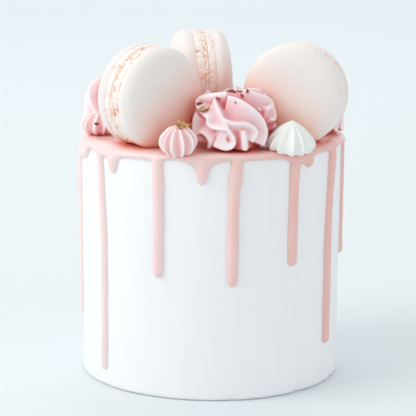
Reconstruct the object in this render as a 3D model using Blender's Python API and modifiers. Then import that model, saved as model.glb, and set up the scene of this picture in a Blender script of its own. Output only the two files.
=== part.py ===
"""A tall drip cake crowned with macarons, piped rosettes and kisses.

Metres, +Z up. The origin is the centre of the cake's flat underside, and the front faces -Y.
Angles round the cake, and round each rosette, are in degrees from the front towards +X.
"""

import math
import random

import bmesh
import bpy
from mathutils import Matrix, Vector

MM = 0.001
GAP = 0.3 * MM  # clearance left between pieces that lie on each other

# The cake body, a buttercream drum
CAKE_RADIUS = 63.1 * MM
CAKE_HEIGHT = 115.8 * MM
CAKE_TOP_ROUND = 3.0 * MM
CAKE_FOOT_ROUND = 2.2 * MM
CAKE_WAVE = 0.3 * MM  # how far the spread coat wanders from round
CAKE_STEPS = 72

# The drip glaze: a flat pool on top, a rounded rim, and a short skirt that runs into drips
GLAZE_TOP = 118.4 * MM
GLAZE_RADIUS = 65.6 * MM
GLAZE_EDGE = 114.2 * MM  # height of the skirt's lower edge between drips
GLAZE_STEPS = 84
RIM_DROP = 3.6 * MM  # how far the rounded rim falls from the flat top
RIM_RUN = 7.0 * MM  # how far the rounded rim reaches in from the side
SKIRT_LIP = 0.5 * MM  # height of the rounding along the skirt's lower edge
SKIRT_REACH = 4.0 * MM  # how far in behind the cake's side the skirt's underside starts

# Each drip: angle, how far its top is off that angle, height of its tip, width of its thread and
# of its bead, how far and how wide the skirt droops into it, then the height of a lump on the
# thread and how many times wider it is there (lengths in mm)
DRIPS = (
    (-85.0, 3.0, 27.8, 4.6, 4.4, 6.0, 5.0, 101.0, 1.75),
    (-52.0, 0.5, 7.8, 4.8, 5.0, 3.0, 5.0, 104.0, 1.0),
    (-45.6, 0.0, 105.3, 4.2, 4.4, 3.0, 3.5, 111.0, 1.0),
    (-22.7, 0.3, 58.3, 5.4, 5.8, 1.5, 4.0, 104.0, 1.0),
    (-4.0, 0.0, 103.7, 4.8, 4.4, 7.0, 5.0, 111.0, 1.0),
    (9.2, 1.0, 55.1, 5.8, 6.2, 1.5, 4.0, 106.5, 1.35),
    (36.6, 0.6, 62.6, 5.0, 5.6, 3.0, 5.0, 110.0, 1.15),
    (44.7, 0.0, 109.1, 5.2, 5.4, 1.5, 4.0, 111.0, 1.0),
    (59.4, 5.0, 20.0, 4.6, 5.6, 1.5, 4.0, 109.0, 1.15),
    (83.0, 2.0, 59.0, 3.6, 5.0, 3.0, 5.0, 104.0, 1.0),
    (103.0, -1.0, 38.0, 4.4, 5.0, 3.0, 5.0, 104.0, 1.1),
    (122.0, 0.5, 92.0, 4.8, 5.2, 4.0, 5.0, 104.0, 1.0),
    (141.0, -0.6, 50.0, 4.6, 5.2, 2.0, 5.0, 105.0, 1.2),
    (163.0, 0.4, 72.0, 5.0, 5.6, 3.0, 5.0, 104.0, 1.0),
    (-172.0, 0.8, 24.0, 4.4, 5.0, 2.5, 5.0, 103.0, 1.3),
    (-150.0, -0.5, 84.0, 4.8, 5.4, 5.0, 5.0, 104.0, 1.0),
    (-128.0, 0.6, 46.0, 4.6, 5.2, 2.5, 5.0, 106.0, 1.2),
    (-106.0, 0.5, 96.0, 4.4, 4.8, 3.5, 5.0, 104.0, 1.0),
)
DRIP_SUNK = 0.2 * MM  # how far a drip's middle line lies inside the cake's side
DRIP_SIDES = 2  # bevel resolution of a drip, for eight sides
DRIP_SPAN = 26.0 * MM  # the longest stretch of a drip between two of its sections
DRIP_ROOT = 1.5 * MM  # how far a drip's narrow root reaches up inside the skirt
DRIP_NECK = 8.0 * MM  # the longest taper from the thread to the bead
SECTION_GAP = 4.0 * MM  # the least distance kept between two sections of a thread
LUMP_REACH = 5.0 * MM  # half the height of a lump

# The macarons stand on edge, pressed a little into the glaze.
MACARON_SINK = 1.2 * MM
MACARON_STEPS = 28
FILLING_HALF = 1.0 * MM
FILLING_SHARE = 0.94  # the filling's radius as a share of the shell's
FILLING_BULGE = 0.6 * MM
FOOT_RUFFLE = 0.4 * MM
FOOT_TOP = 0.46  # where the ruffled foot ends, as a share of the half thickness
# Each: x and y of the centre, turn and backward lean in degrees, radius, half the thickness (mm)
MACARONS = {
    "macaron_left": (-29.3, -37.0, 42.5, -2.5, 24.0, 14.6),
    "macaron_right": (39.8, -25.8, -11.7, 2.5, 24.1, 13.6),
    "macaron_back": (-5.8, 15.4, 98.7, 0.7, 24.7, 14.3),
}
# Half a shell's outline from its crown to its foot, as shares of the radius and the half thickness
SHELL_OUTLINE = (
    (0.38, 0.985),
    (0.68, 0.92),
    (0.89, 0.79),
    (1.00, 0.60),
    (0.98, 0.48),
)
FOOT_OUTLINE = ((0.955, 0.44), (0.975, 0.28), (0.95, 0.12))
SHELL_INNER = 0.9  # radius of the shell's flat inner face, as a share of the shell's

# Piped kisses: centre, tilt and the direction it tips towards in degrees, ridge count, how deep
# the valleys are, twist in degrees, height, and the outline as heights and radii (mm)
KISSES = {
    "star_kiss_front": (
        (-15.3, -60.2),
        (12.0, -10.0),
        10,
        0.28,
        0.0,
        13.0,
        ((0.0, 6.2), (2.0, 8.0), (5.0, 9.1), (8.2, 8.5), (11.0, 6.2), (12.6, 3.1)),
    ),
    "meringue_kiss": (
        (36.6, -48.4),
        (12.0, 15.0),
        12,
        0.14,
        8.0,
        14.3,
        ((0.0, 10.0), (1.2, 11.5), (3.2, 11.9), (5.8, 9.8), (8.8, 6.4), (12.0, 2.7)),
    ),
    "star_kiss_left": (
        (-54.2, -9.5),
        (2.0, -80.0),
        10,
        0.28,
        6.0,
        10.6,
        ((0.0, 6.4), (1.6, 8.5), (4.2, 9.4), (6.8, 8.5), (9.0, 6.0), (10.2, 3.0)),
    ),
}
KISS_REST = 64.0 * MM  # out to this radius a kiss's base follows the glaze that it stands on
KISS_CLEAR = 0.55 * MM  # clearance over the rounded rim, whose facets stand off its true curve
KISS_STEPS = 4  # steps from one ridge to the next
VALLEY_POWER = 0.8  # below 1 the valleys are broad and the ridges narrow

# Piped rosettes: centre, radius and height, how full the shoulders are, the size of the cells that
# melt the ridges into one skin (mm), and about how many triangles that skin is thinned to
ROSETTES = {
    "rosette_front": (10.4, -41.0, 20.0, 27.3, 5.0, 0.7, 1860),
    "rosette_left": (-45.0, 13.0, 19.0, 27.0, 3.0, 0.9, 570),
    "rosette_back": (-0.8, 49.0, 13.0, 27.0, 3.0, 0.9, 570),
    "rosette_right": (49.5, 5.0, 15.5, 21.0, 3.0, 0.9, 570),
}
SHOULDER_POWER = 0.35
VALLEY_SHARE = 0.60  # radius of the body under the ridges, as a share of the rosette's
BODY_HEIGHT = 0.93  # height of that body, as a share of the rosette's
BODY_STEPS = 24
RIDGE_DEPTH = 9.0 * MM
RIDGE_HEART = 0.4  # height of the point from which the ridges spread, as a share of the rosette's
TOP_THICKNESS = 0.6  # a ridge's thickness at its top, as a share of its thickness at its foot
END_THICKNESS = 0.6  # how far a ridge narrows again at its two ends
CREST_SECTION = ((0.5, 0.85), (1.3, 1.15))  # depths and half widths, in half thicknesses
ROOT_SECTION = ((0.22, 0.10), (0.45, 0.26), (1.0, 0.66))  # depths and added half widths, in ridge depths
LOWEST_SHARE = 0.03  # the lowest that a ridge's crest runs, as a share of the height
STROKE_STEPS = 7
LINE_STEPS = 3  # steps from each place of a hand-laid ridge to the next
SPARE_LEAN = -12.0  # how far the spare ridges' roots lean (degrees)
CURL_STEP = 30.0  # degrees
SMOOTH_STEPS = 3
SPARE_RIDGES = 9

# The front rosette's ridges, laid by hand. Each: its thickness at the crest (mm), how far its root
# leans to the right of the way it runs (degrees), and places that its crest passes, as angles
# (degrees) and shares of the rosette's height
FRONT_RIDGES = (
    (1.5, -18, ((-37, 0.87), (-28, 0.77), (-17, 0.58), (-8, 0.38), (0, 0.22), (-2, 0.07), (-24, 0.05))),
    (1.3, 10, ((-90, 0.78), (-72, 0.70), (-55, 0.62), (-42, 0.55), (-41, 0.46), (-33, 0.39), (-8, 0.37))),
    (1.6, -14, ((-14, 0.55), (-4, 0.50), (6, 0.49), (17, 0.48), (27, 0.42), (33, 0.30), (25, 0.16))),
    (1.5, -16, ((-14, 0.92), (6, 0.88), (21, 0.79), (33, 0.67), (43, 0.53), (51, 0.30), (44, 0.08))),
    (1.6, 0, ((12, 0.37), (14, 0.20), (14, 0.03))),
    (1.6, 0, ((-60, 0.58), (-76, 0.50), (-90, 0.38), (-94, 0.22), (-90, 0.08))),
    (1.4, 0, ((-63, 0.22), (-54, 0.28), (-45, 0.26), (-38, 0.19), (-35, 0.10), (-38, 0.04))),
    (9.0, 0, ((-96, 0.80), (-72, 0.90), (-40, 0.96), (-12, 0.98))),
    (1.6, -10, ((34, 0.99), (52, 0.95), (70, 0.88), (84, 0.80), (86, 0.73), (72, 0.68))),
    (4.0, 0, ((60, 0.99), (100, 0.95), (130, 0.80))),
    (1.6, -6, ((58, 0.70), (74, 0.70), (86, 0.63), (87, 0.53), (76, 0.47), (64, 0.49))),
    (1.6, 0, ((76, 0.40), (86, 0.30), (86, 0.16), (74, 0.06))),
    (1.8, -12, ((100, 0.90), (122, 0.72), (140, 0.48), (150, 0.28), (142, 0.12), (128, 0.12))),
    (1.8, -12, ((145, 0.90), (167, 0.72), (185, 0.48), (195, 0.28), (187, 0.12), (173, 0.12))),
    (1.8, -12, ((190, 0.90), (212, 0.72), (230, 0.48), (240, 0.28), (232, 0.12), (218, 0.12))),
    (1.8, -12, ((-125, 0.90), (-112, 0.68), (-102, 0.46), (-98, 0.26), (-106, 0.12), (-118, 0.12))),
)

# Dried petal flakes: what each lies on, the direction from which it fell as an angle and an
# elevation in degrees, its length, width and upward curl (mm), and its turn in degrees
FLAKES = (
    ("star_kiss_front", 30.0, 78.0, 6.4, 3.6, 1.6, 5.0),
    ("star_kiss_left", 40.0, 35.0, 3.2, 1.8, 0.4, 80.0),
    ("rosette_front", -62.0, 46.0, 6.4, 2.8, 0.8, 20.0),
    ("rosette_front", -78.0, 50.0, 2.8, 2.0, 0.3, 0.0),
    ("rosette_front", -10.0, 84.0, 4.0, 2.2, 0.4, 10.0),
    ("rosette_front", 35.0, 74.0, 5.6, 3.6, 1.2, 35.0),
    ("rosette_left", -30.0, 60.0, 4.6, 2.6, 0.8, 60.0),
    ("rosette_right", 150.0, 55.0, 5.0, 2.8, 0.8, -30.0),
)
FLAKE_THICKNESS = 0.7 * MM
FLAKE_POINTED = 0.75  # how much narrower a flake is at its ends than in its middle
FLAKE_FALL = 100.0 * MM  # how far away from its host a flake starts its fall

# Colours (linear) and roughness
BUTTERCREAM_WHITE = ((0.95, 0.955, 0.96), 0.55)
BUTTERCREAM_PINK = ((0.86, 0.60, 0.62), 0.55)
GLAZE_PINK = ((0.90, 0.62, 0.60), 0.35)
MERINGUE = ((0.94, 0.96, 0.94), 0.60)
STAR_PINK = ((0.88, 0.60, 0.61), 0.60)
SHELL = ((0.91, 0.86, 0.83), 0.62)
FILLING = ((0.86, 0.66, 0.52), 0.60)


def around(radius, angle, height=0.0):
    """The point at a radius and an angle from the front, in degrees."""
    turn = math.radians(angle)
    return Vector((radius * math.sin(turn), -radius * math.cos(turn), height))


def finish_mesh(name, shape, smooth=60.0):
    """Makes a bmesh an object, shaded smooth but for edges sharper than the angle given."""
    shape.normal_update()
    bmesh.ops.recalc_face_normals(shape, faces=shape.faces)
    mesh = bpy.data.meshes.new(name)
    shape.to_mesh(mesh)
    shape.free()
    mesh.shade_smooth()
    mesh.set_sharp_from_angle(angle=math.radians(smooth))
    return bpy.data.objects.new(name, mesh)


def turned(outline, steps):
    """A closed solid of revolution about Z, from an outline that starts and ends on the axis."""
    shape = bmesh.new()
    chain = [shape.verts.new((across, 0, up)) for across, up in outline]
    for one, two in zip(chain, chain[1:]):
        shape.edges.new((one, two))
    bmesh.ops.spin(
        shape,
        geom=chain + shape.edges[:],
        axis=(0, 0, 1),
        cent=(0, 0, 0),
        angle=2 * math.pi,
        steps=steps,
        use_merge=True,
    )
    bmesh.ops.remove_doubles(shape, verts=shape.verts, dist=0.001 * MM)
    return shape


def lofted(shape, rings):
    """Adds a closed body through a row of rings that have the same number of points."""
    loops = [[shape.verts.new(point) for point in ring] for ring in rings]
    for low, high in zip(loops, loops[1:]):
        for i in range(len(low)):
            before = i - 1
            shape.faces.new((low[before], low[i], high[i], high[before]))
    shape.faces.new(loops[0])
    shape.faces.new(loops[-1][::-1])


def realised(obj):
    """A mesh of the object as its modifiers leave it."""
    bpy.context.view_layer.update()
    graph = bpy.context.evaluated_depsgraph_get()
    return bpy.data.meshes.new_from_object(obj.evaluated_get(graph))


def applied(obj):
    """Applies the object's modifiers."""
    mesh = realised(obj)
    obj.modifiers.clear()
    obj.data = mesh
    return obj


def cut(obj, operation, operand):
    """Adds and applies a Boolean with an object or a collection, which is left in place."""
    boolean = obj.modifiers.new(operation.title(), "BOOLEAN")
    boolean.operation = operation
    boolean.solver = "EXACT"
    if isinstance(operand, bpy.types.Collection):
        boolean.operand_type = "COLLECTION"
        boolean.collection = operand
    else:
        boolean.object = operand
    return applied(obj)


def paint(obj, name, look):
    """Gives the object a material of its own."""
    colour, roughness = look
    material = bpy.data.materials.new(f"{obj.name} {name}")
    material.use_nodes = True
    shader = material.node_tree.nodes["Principled BSDF"]
    shader.inputs["Base Color"].default_value = (*colour, 1)
    shader.inputs["Roughness"].default_value = roughness
    shader.inputs["Metallic"].default_value = 0
    obj.data.materials.clear()
    obj.data.materials.append(material)


def make_cutter(obj, cutters):
    """Puts an object among the cutters, where it is no part of the cake."""
    obj.hide_render = True
    obj.display_type = "WIRE"
    cutters.objects.link(obj)
    return obj


def cake_wave(point):
    """How far the spread coat stands out or in at a point of the side."""
    angle = math.atan2(point.x, -point.y)
    rise = point.z / CAKE_HEIGHT
    slow = 0.6 * math.sin(2 * angle + 0.8 + rise)
    quick = 0.4 * math.sin(5 * angle - 2.5 * rise)
    return CAKE_WAVE * (slow + quick)


def cake_body(name, grow=0.0):
    """The drum, larger all round by grow."""
    radius = CAKE_RADIUS + grow
    top = CAKE_HEIGHT + grow
    outline = [
        (0, top),
        (radius - CAKE_TOP_ROUND, top),
        (radius, top - CAKE_TOP_ROUND),
        (radius, 0.7 * top),
        (radius, 0.35 * top),
        (radius, CAKE_FOOT_ROUND),
        (radius - 0.35 * CAKE_FOOT_ROUND, 0.3 * CAKE_FOOT_ROUND),
        (radius - CAKE_FOOT_ROUND, -grow),
        (0, -grow),
    ]
    shape = turned(outline, CAKE_STEPS)
    for vert in shape.verts:
        across = Vector((vert.co.x, vert.co.y, 0))
        if across.length > 0.9 * radius:
            vert.co += across.normalized() * cake_wave(vert.co)
    return finish_mesh(name, shape)


def droop(angle):
    """How far the skirt's lower edge hangs at an angle, drawn down by the drips near it."""
    deepest = 0.0
    for place, off, _, _, _, depth, width, _, _ in DRIPS:
        aside = (angle - place - off + 180) % 360 - 180
        aside = math.radians(aside) * GLAZE_RADIUS / (width * MM)
        deepest = max(deepest, depth * MM / (1 + aside * aside) ** 1.5)
    return deepest


def glaze_height(point):
    """The height of the glaze's surface under a point."""
    out = Vector((point.x, point.y)).length - (GLAZE_RADIUS - RIM_RUN)
    share = min(max(out / RIM_RUN, 0.0), 1.0)
    return GLAZE_TOP - RIM_DROP * (1 - math.sqrt(1 - share * share))


def glaze_cap(name):
    """The pool, rim and skirt as one solid, before the cake's shape is taken out of it."""
    flat = GLAZE_RADIUS - RIM_RUN
    outline = [(0, GLAZE_TOP), (flat, GLAZE_TOP)]
    for turn in (30, 60, 90):
        across = flat + RIM_RUN * math.sin(math.radians(turn))
        fall = RIM_DROP * (1 - math.cos(math.radians(turn)))
        outline.append((across, GLAZE_TOP - fall))
    outline.append((GLAZE_RADIUS - 0.4 * SKIRT_LIP, GLAZE_EDGE + SKIRT_LIP))
    outline.append((CAKE_RADIUS + GAP, GLAZE_EDGE))
    outline.append((CAKE_RADIUS - SKIRT_REACH, GLAZE_EDGE))
    outline.append((0, GLAZE_EDGE))
    shape = turned(outline, GLAZE_STEPS)
    for vert in shape.verts:
        if vert.co.z < GLAZE_EDGE + 2 * SKIRT_LIP and vert.co.xy.length > flat - SKIRT_REACH:
            vert.co.z -= droop(math.degrees(math.atan2(vert.co.x, -vert.co.y)))
    return finish_mesh(name, shape)


def drip_sections(drip):
    """The heights and radii of a drip's sections, from its root in the skirt to its tip."""
    _, _, tip, thread, bead, _, _, lump, swell = drip
    tip *= MM
    lump *= MM
    thread *= MM / 2
    bead *= MM / 2
    top = GLAZE_EDGE - SKIRT_LIP
    neck = tip + max(2 * bead, min(0.3 * (top - tip), DRIP_NECK))
    heights = [top, neck]
    if swell > 1:
        heights += [lump + share * LUMP_REACH for share in (-1, -0.4, 0.4, 1)]
    spans = round((top - neck) / DRIP_SPAN)
    for step in range(1, spans):
        height = top + (neck - top) * step / spans
        if min(abs(height - other) for other in heights) > SECTION_GAP:
            heights.append(height)
    sections = [(top + DRIP_ROOT, 0.5 * thread)]
    for height in sorted(heights, reverse=True):
        near = math.exp(-1.5 * ((height - lump) / LUMP_REACH) ** 2)
        sections.append((height, thread * (1 + (swell - 1) * near)))
    for turn in (0, 40, 75):
        lower = 1.2 * bead * (1 - math.sin(math.radians(turn)))
        sections.append((tip + lower, bead * math.cos(math.radians(turn))))
    return sections


def drip_tube(name, drip):
    """One drip, a tube down the side that swells into a round-ended bead."""
    angle, off = drip[:2]
    sections = drip_sections(drip)
    top = sections[1][0]
    tip = sections[-1][0]
    curve = bpy.data.curves.new(name, "CURVE")
    curve.dimensions = "3D"
    curve.bevel_depth = 1.0
    curve.bevel_resolution = DRIP_SIDES
    curve.use_fill_caps = True
    spline = curve.splines.new("POLY")
    spline.points.add(len(sections) - 1)
    for point, (height, radius) in zip(spline.points, sections):
        share = min((height - tip) / (top - tip), 1.0)
        place = angle + off * max(0.0, 2 * share - 1) ** 2
        point.co = (*around(CAKE_RADIUS - DRIP_SUNK, place, height), 1)
        point.radius = radius
    tube = bpy.data.objects.new(name, curve)
    bpy.context.scene.collection.objects.link(tube)
    shape = bmesh.new()
    shape.from_mesh(realised(tube))
    bmesh.ops.remove_doubles(shape, verts=shape.verts, dist=0.01 * MM)
    bpy.data.objects.remove(tube)
    return finish_mesh(name, shape)


def add_glaze(pieces, cutters, rooms):
    """The glaze: cap and drips joined, with the cake's and the macarons' room cut out."""
    glaze = glaze_cap("drip_glaze")
    pieces.objects.link(glaze)
    drips = bpy.data.collections.new("drips")
    bpy.context.scene.collection.children.link(drips)
    for number, drip in enumerate(DRIPS):
        drips.objects.link(drip_tube(f"drip_{number}", drip))
    cut(glaze, "UNION", drips)
    for tube in list(drips.objects):
        bpy.data.objects.remove(tube)
    bpy.data.collections.remove(drips)
    cut(glaze, "DIFFERENCE", make_cutter(cake_body("cake_room", GAP), cutters))
    for room in rooms:
        cut(glaze, "DIFFERENCE", room)
    paint(glaze, "glaze", GLAZE_PINK)


def shell_solid(name, radius, half, side):
    """One shell with its ruffled foot, on the side of the filling that side gives (+1 or -1)."""
    rough = random.Random(name)
    inner = FILLING_HALF + GAP
    outline = [(0, half)]
    outline += [(radius * across, half * up) for across, up in SHELL_OUTLINE + FOOT_OUTLINE]
    outline += [(SHELL_INNER * radius, inner), (0, inner)]
    shape = turned(outline, MACARON_STEPS)
    for vert in shape.verts:
        across = Vector((vert.co.x, vert.co.y, 0))
        if inner + 0.1 * MM < vert.co.z < FOOT_TOP * half and across.length > 0.5 * radius:
            vert.co += across.normalized() * rough.uniform(-1, 1) * FOOT_RUFFLE
            vert.co.z += rough.uniform(0, 0.5) * FOOT_RUFFLE
        vert.co.z *= side
    return finish_mesh(name, shape, 70.0)


def filling_solid(name, radius):
    """The thin disc of filling, its edge wavy."""
    rough = random.Random(name)
    edge = FILLING_SHARE * radius
    outline = [
        (0, FILLING_HALF),
        (edge - FILLING_BULGE, FILLING_HALF),
        (edge, 0),
        (edge - FILLING_BULGE, -FILLING_HALF),
        (0, -FILLING_HALF),
    ]
    shape = turned(outline, MACARON_STEPS)
    for vert in shape.verts:
        if abs(vert.co.z) < 0.1 * MM:
            across = Vector((vert.co.x, vert.co.y, 0))
            vert.co += across.normalized() * rough.uniform(-1, 1) * FOOT_RUFFLE
    return finish_mesh(name, shape)


def macaron_room(name, radius, half):
    """The room that a whole macaron takes, with the clearance round it."""
    outline = [(0, half + GAP)]
    for across, up in SHELL_OUTLINE:
        outline.append((radius * across + GAP, (half + GAP) * up))
    outline += [(across, -up) for across, up in reversed(outline)]
    return finish_mesh(name, turned(outline, MACARON_STEPS))


def macaron(name, pieces, cutters):
    """Two shells and a filling, parented to an empty that stands the macaron on edge."""
    x, y, turn, lean, radius, half = MACARONS[name]
    radius *= MM
    half *= MM
    stand = bpy.data.objects.new(name, None)
    stand.location = (x * MM, y * MM, GLAZE_TOP - MACARON_SINK + radius)
    stand.rotation_euler = (math.radians(90 - lean), 0, math.radians(turn))
    pieces.objects.link(stand)
    for part_name, side in (("front_shell", 1), ("back_shell", -1)):
        shell = shell_solid(f"{name}_{part_name}", radius, half, side)
        shell.parent = stand
        pieces.objects.link(shell)
        paint(shell, "macaron shell", SHELL)
    filling = filling_solid(f"{name}_filling", radius)
    filling.parent = stand
    pieces.objects.link(filling)
    paint(filling, "macaron filling", FILLING)
    room = make_cutter(macaron_room(f"{name}_room", radius, half), cutters)
    room.parent = stand
    return room


def kiss(name, kiss_name, grow=0.0):
    """A kiss piped with a star nozzle, its section drawn in between ridges; grow makes it larger."""
    (x, y), (tilt, towards), ridges, depth, twist, tip, rows = KISSES[kiss_name]
    outline = [(0, tip * MM + grow)]
    for height, radius in reversed(rows):
        outline.append((radius * MM + grow, height * MM + (grow if height else 0)))
    outline.append((0, 0))
    shape = turned(outline, ridges * KISS_STEPS)
    base = Vector((x * MM, y * MM, 0))
    base.z = glaze_height(base) + GAP
    lean = Matrix.Rotation(math.radians(tilt), 3, around(1, towards + 90))
    for vert in shape.verts:
        angle = math.atan2(vert.co.y, vert.co.x)
        rise = vert.co.z
        vert.co.xy *= 1 - depth * abs(math.sin(ridges * angle / 2)) ** VALLEY_POWER
        swing = Matrix.Rotation(math.radians(twist * rise / (tip * MM)), 3, "Z")
        vert.co = lean @ swing @ vert.co + base
        floor = glaze_height(vert.co) + KISS_CLEAR - 2 * grow
        if rise == 0 and vert.co.xy.length < KISS_REST:
            vert.co.z = floor
        vert.co.z = max(vert.co.z, floor)
    return finish_mesh(name, shape, 35.0)


def add_kisses(pieces, cutters, rooms, hosts):
    """The kisses, each cut clear of the macarons. Returns the room that each takes."""
    taken = []
    for name in KISSES:
        piece = kiss(name, name)
        pieces.objects.link(piece)
        for room in rooms:
            cut(piece, "DIFFERENCE", room)
        paint(piece, "sugar", MERINGUE if name == "meringue_kiss" else STAR_PINK)
        hosts[name] = piece
        taken.append(make_cutter(kiss(f"{name}_room", name, GAP), cutters))
    return taken


def dome(radius, height, fullness, angle, share):
    """A point on a rosette's outside, at an angle and at a share of its height."""
    share = min(max(share, 0.0), 0.995)
    return around(radius * (1 - share**fullness) ** SHOULDER_POWER, angle, height * share)


def smooth_line(points):
    """A smooth line through the points."""
    ends = [points[0], *points, points[-1]]
    line = []
    for a, b, c, d in zip(ends, ends[1:], ends[2:], ends[3:]):
        for step in range(LINE_STEPS):
            t = step / LINE_STEPS
            place = []
            for p, q, r, s in zip(a, b, c, d):
                bend = 2 * p - 5 * q + 4 * r - s + t * (3 * (q - r) + s - p)
                place.append(q + 0.5 * t * (r - p + t * bend))
            line.append(tuple(place))
    line.append(points[-1])
    return line


def stroke(radius, height, ridge):
    """The places of a stroke down a rosette's side that ends in a curl."""
    top_angle, top, foot_angle, foot, bow, curl, sweep = ridge
    places = []
    for step in range(STROKE_STEPS + 1):
        share = step / STROKE_STEPS
        angle = top_angle + (foot_angle - top_angle) * share + bow * math.sin(math.pi * share)
        places.append((angle, top + (foot - top) * share**1.2))
    across = math.degrees(1 / radius)  # degrees of angle for each metre along the side
    (a1, h1), (a2, h2) = places[-2:]
    heading = math.atan2((h2 - h1) * height, (a2 - a1) / across)
    angle, share = a2, h2
    step = math.radians(CURL_STEP)
    run = 2 * curl * MM * math.sin(step / 2)
    for _ in range(round(sweep / CURL_STEP)):
        heading -= step / 2
        angle += run * math.cos(heading) * across
        share += run * math.sin(heading) / height
        heading -= step / 2
        places.append((angle, share))
    return places


def ridge_rings(path, height, thickness, lean):
    """Blade sections along a crest, rounded at the crest and rooted towards the rosette's middle."""
    heart = Vector((0, 0, RIDGE_HEART * height))
    rings = []
    for i, crest in enumerate(path):
        along = (path[min(i + 1, len(path) - 1)] - path[max(i - 1, 0)]).normalized()
        out = crest - heart
        out = (out - out.dot(along) * along).normalized()
        out = Matrix.Rotation(math.radians(lean), 3, along) @ out
        side = along.cross(out)
        grown = min(1.0, TOP_THICKNESS + (1 - TOP_THICKNESS) * 2 * i / len(path))
        if i in (0, len(path) - 1):
            grown *= END_THICKNESS
        half = 0.5 * thickness * grown
        deep = min(RIDGE_DEPTH, 0.8 * (crest - heart).length)
        flank = [(half * down, half * aside) for down, aside in CREST_SECTION]
        flank += [(half + deep * down, half + deep * aside) for down, aside in ROOT_SECTION]
        ring = [crest] + [crest - out * down + side * aside for down, aside in flank]
        ring += [crest - out * down - side * aside for down, aside in reversed(flank)]
        rings.append(ring)
    return rings


def spare_ridges(name):
    """Ridges for a rosette piped like the front one, each a little different."""
    rough = random.Random(name)
    _, _, radius, height, *_ = ROSETTES[name]
    ridges = []
    for i in range(SPARE_RIDGES):
        top = 360 * i / SPARE_RIDGES + rough.uniform(-8, 8)
        ridge = (
            top,
            rough.uniform(0.8, 0.92),
            top + rough.uniform(42, 58),
            rough.uniform(0.28, 0.42),
            rough.uniform(-6, 2),
            rough.uniform(3.4, 4.4),
            rough.uniform(120, 190),
        )
        thickness = rough.uniform(1.6, 2.4)
        ridges.append((thickness, SPARE_LEAN, stroke(radius * MM, height * MM, ridge)))
    return ridges


def rosette(name, ridges):
    """A rosette: ridges round a body, melted into one skin that is then thinned."""
    x, y, radius, height, fullness, cell, triangles = ROSETTES[name]
    radius *= MM
    height *= MM
    inside = VALLEY_SHARE * radius
    top = BODY_HEIGHT * height
    outline = [(0, top)]
    for share in (0.9, 0.7, 0.4, 0.1):
        outline.append((dome(inside, top, fullness, 90, share).x, top * share))
    outline += [(inside, 0), (0, 0)]
    shape = turned(outline, BODY_STEPS)
    for thickness, lean, places in ridges:
        path = []
        for angle, share in places:
            path.append(dome(radius, height, fullness, angle, max(share, LOWEST_SHARE)))
        lofted(shape, ridge_rings(path, height, thickness * MM, lean))
    for vert in shape.verts:
        vert.co.z = max(vert.co.z, 0)
    obj = finish_mesh(name, shape)
    bpy.context.scene.collection.objects.link(obj)
    remesh = obj.modifiers.new("Melt", "REMESH")
    remesh.mode = "VOXEL"
    remesh.voxel_size = cell * MM
    smooth = obj.modifiers.new("Smooth", "SMOOTH")
    smooth.iterations = SMOOTH_STEPS
    applied(obj)
    thin = obj.modifiers.new("Thin", "DECIMATE")
    thin.ratio = triangles / (2 * len(obj.data.polygons))
    applied(obj)
    bpy.context.scene.collection.objects.unlink(obj)
    lowest = min(vert.co.z for vert in obj.data.vertices)
    obj.location = (x * MM, y * MM, GLAZE_TOP + GAP - lowest)
    return obj


def add_rosettes(pieces, taken, hosts):
    """The rosettes, each cut clear of what stands beside it."""
    for name in ROSETTES:
        ridges = spare_ridges(name)
        if name == "rosette_front":
            ridges = [(*facts, smooth_line(places)) for *facts, places in FRONT_RIDGES]
        piece = rosette(name, ridges)
        pieces.objects.link(piece)
        for room in taken:
            cut(piece, "DIFFERENCE", room)
        paint(piece, "buttercream", BUTTERCREAM_PINK)
        hosts[name] = piece


def flake(name, host, fall, elevation, length, width, curl, turn):
    """A dried petal flake, laid on the host where a line towards its middle meets it."""
    shape = bmesh.new()
    bmesh.ops.create_grid(shape, x_segments=3, y_segments=1, size=0.5)
    for vert in shape.verts:
        share = 2 * vert.co.x
        vert.co.y *= width * MM * (1 - FLAKE_POINTED * share * share)
        vert.co.x *= length * MM
        vert.co.z = curl * MM * share * share
    petal = finish_mesh(name, shape)
    solidify = petal.modifiers.new("Thickness", "SOLIDIFY")
    solidify.thickness = FLAKE_THICKNESS
    solidify.offset = 0
    points = [host.matrix_world @ Vector(corner) for corner in host.bound_box]
    middle = sum(points, Vector()) / len(points)
    away = around(math.cos(math.radians(elevation)), fall, math.sin(math.radians(elevation)))
    into = host.matrix_world.inverted()
    start = into @ (middle + away * FLAKE_FALL)
    _, place, normal, _ = host.ray_cast(start, -(into.to_3x3() @ away))
    upright = (normal + away).normalized().to_track_quat("Z", "X")
    petal.matrix_world = (
        Matrix.Translation(host.matrix_world @ place)
        @ upright.to_matrix().to_4x4()
        @ Matrix.Rotation(math.radians(turn), 4, "Z")
    )
    bpy.context.scene.collection.objects.link(petal)
    return applied(petal)


def add_flakes(hosts):
    """The flakes, each joined to what it lies on."""
    for number, (host, *facts) in enumerate(FLAKES):
        petal = flake(f"flake_{number}", hosts[host], *facts)
        cut(hosts[host], "UNION", petal)
        bpy.data.objects.remove(petal)


def main():
    for obj in list(bpy.data.objects):
        bpy.data.objects.remove(obj)
    pieces = bpy.data.collections.new("lychee rose cake")
    cutters = bpy.data.collections.new("cutters")
    for collection in (pieces, cutters):
        bpy.context.scene.collection.children.link(collection)

    cake = cake_body("cake")
    pieces.objects.link(cake)
    paint(cake, "buttercream", BUTTERCREAM_WHITE)

    hosts = {}
    rooms = [macaron(name, pieces, cutters) for name in MACARONS]
    add_glaze(pieces, cutters, rooms)
    rooms += add_kisses(pieces, cutters, rooms, hosts)
    add_rosettes(pieces, rooms, hosts)
    add_flakes(hosts)


main()
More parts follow.
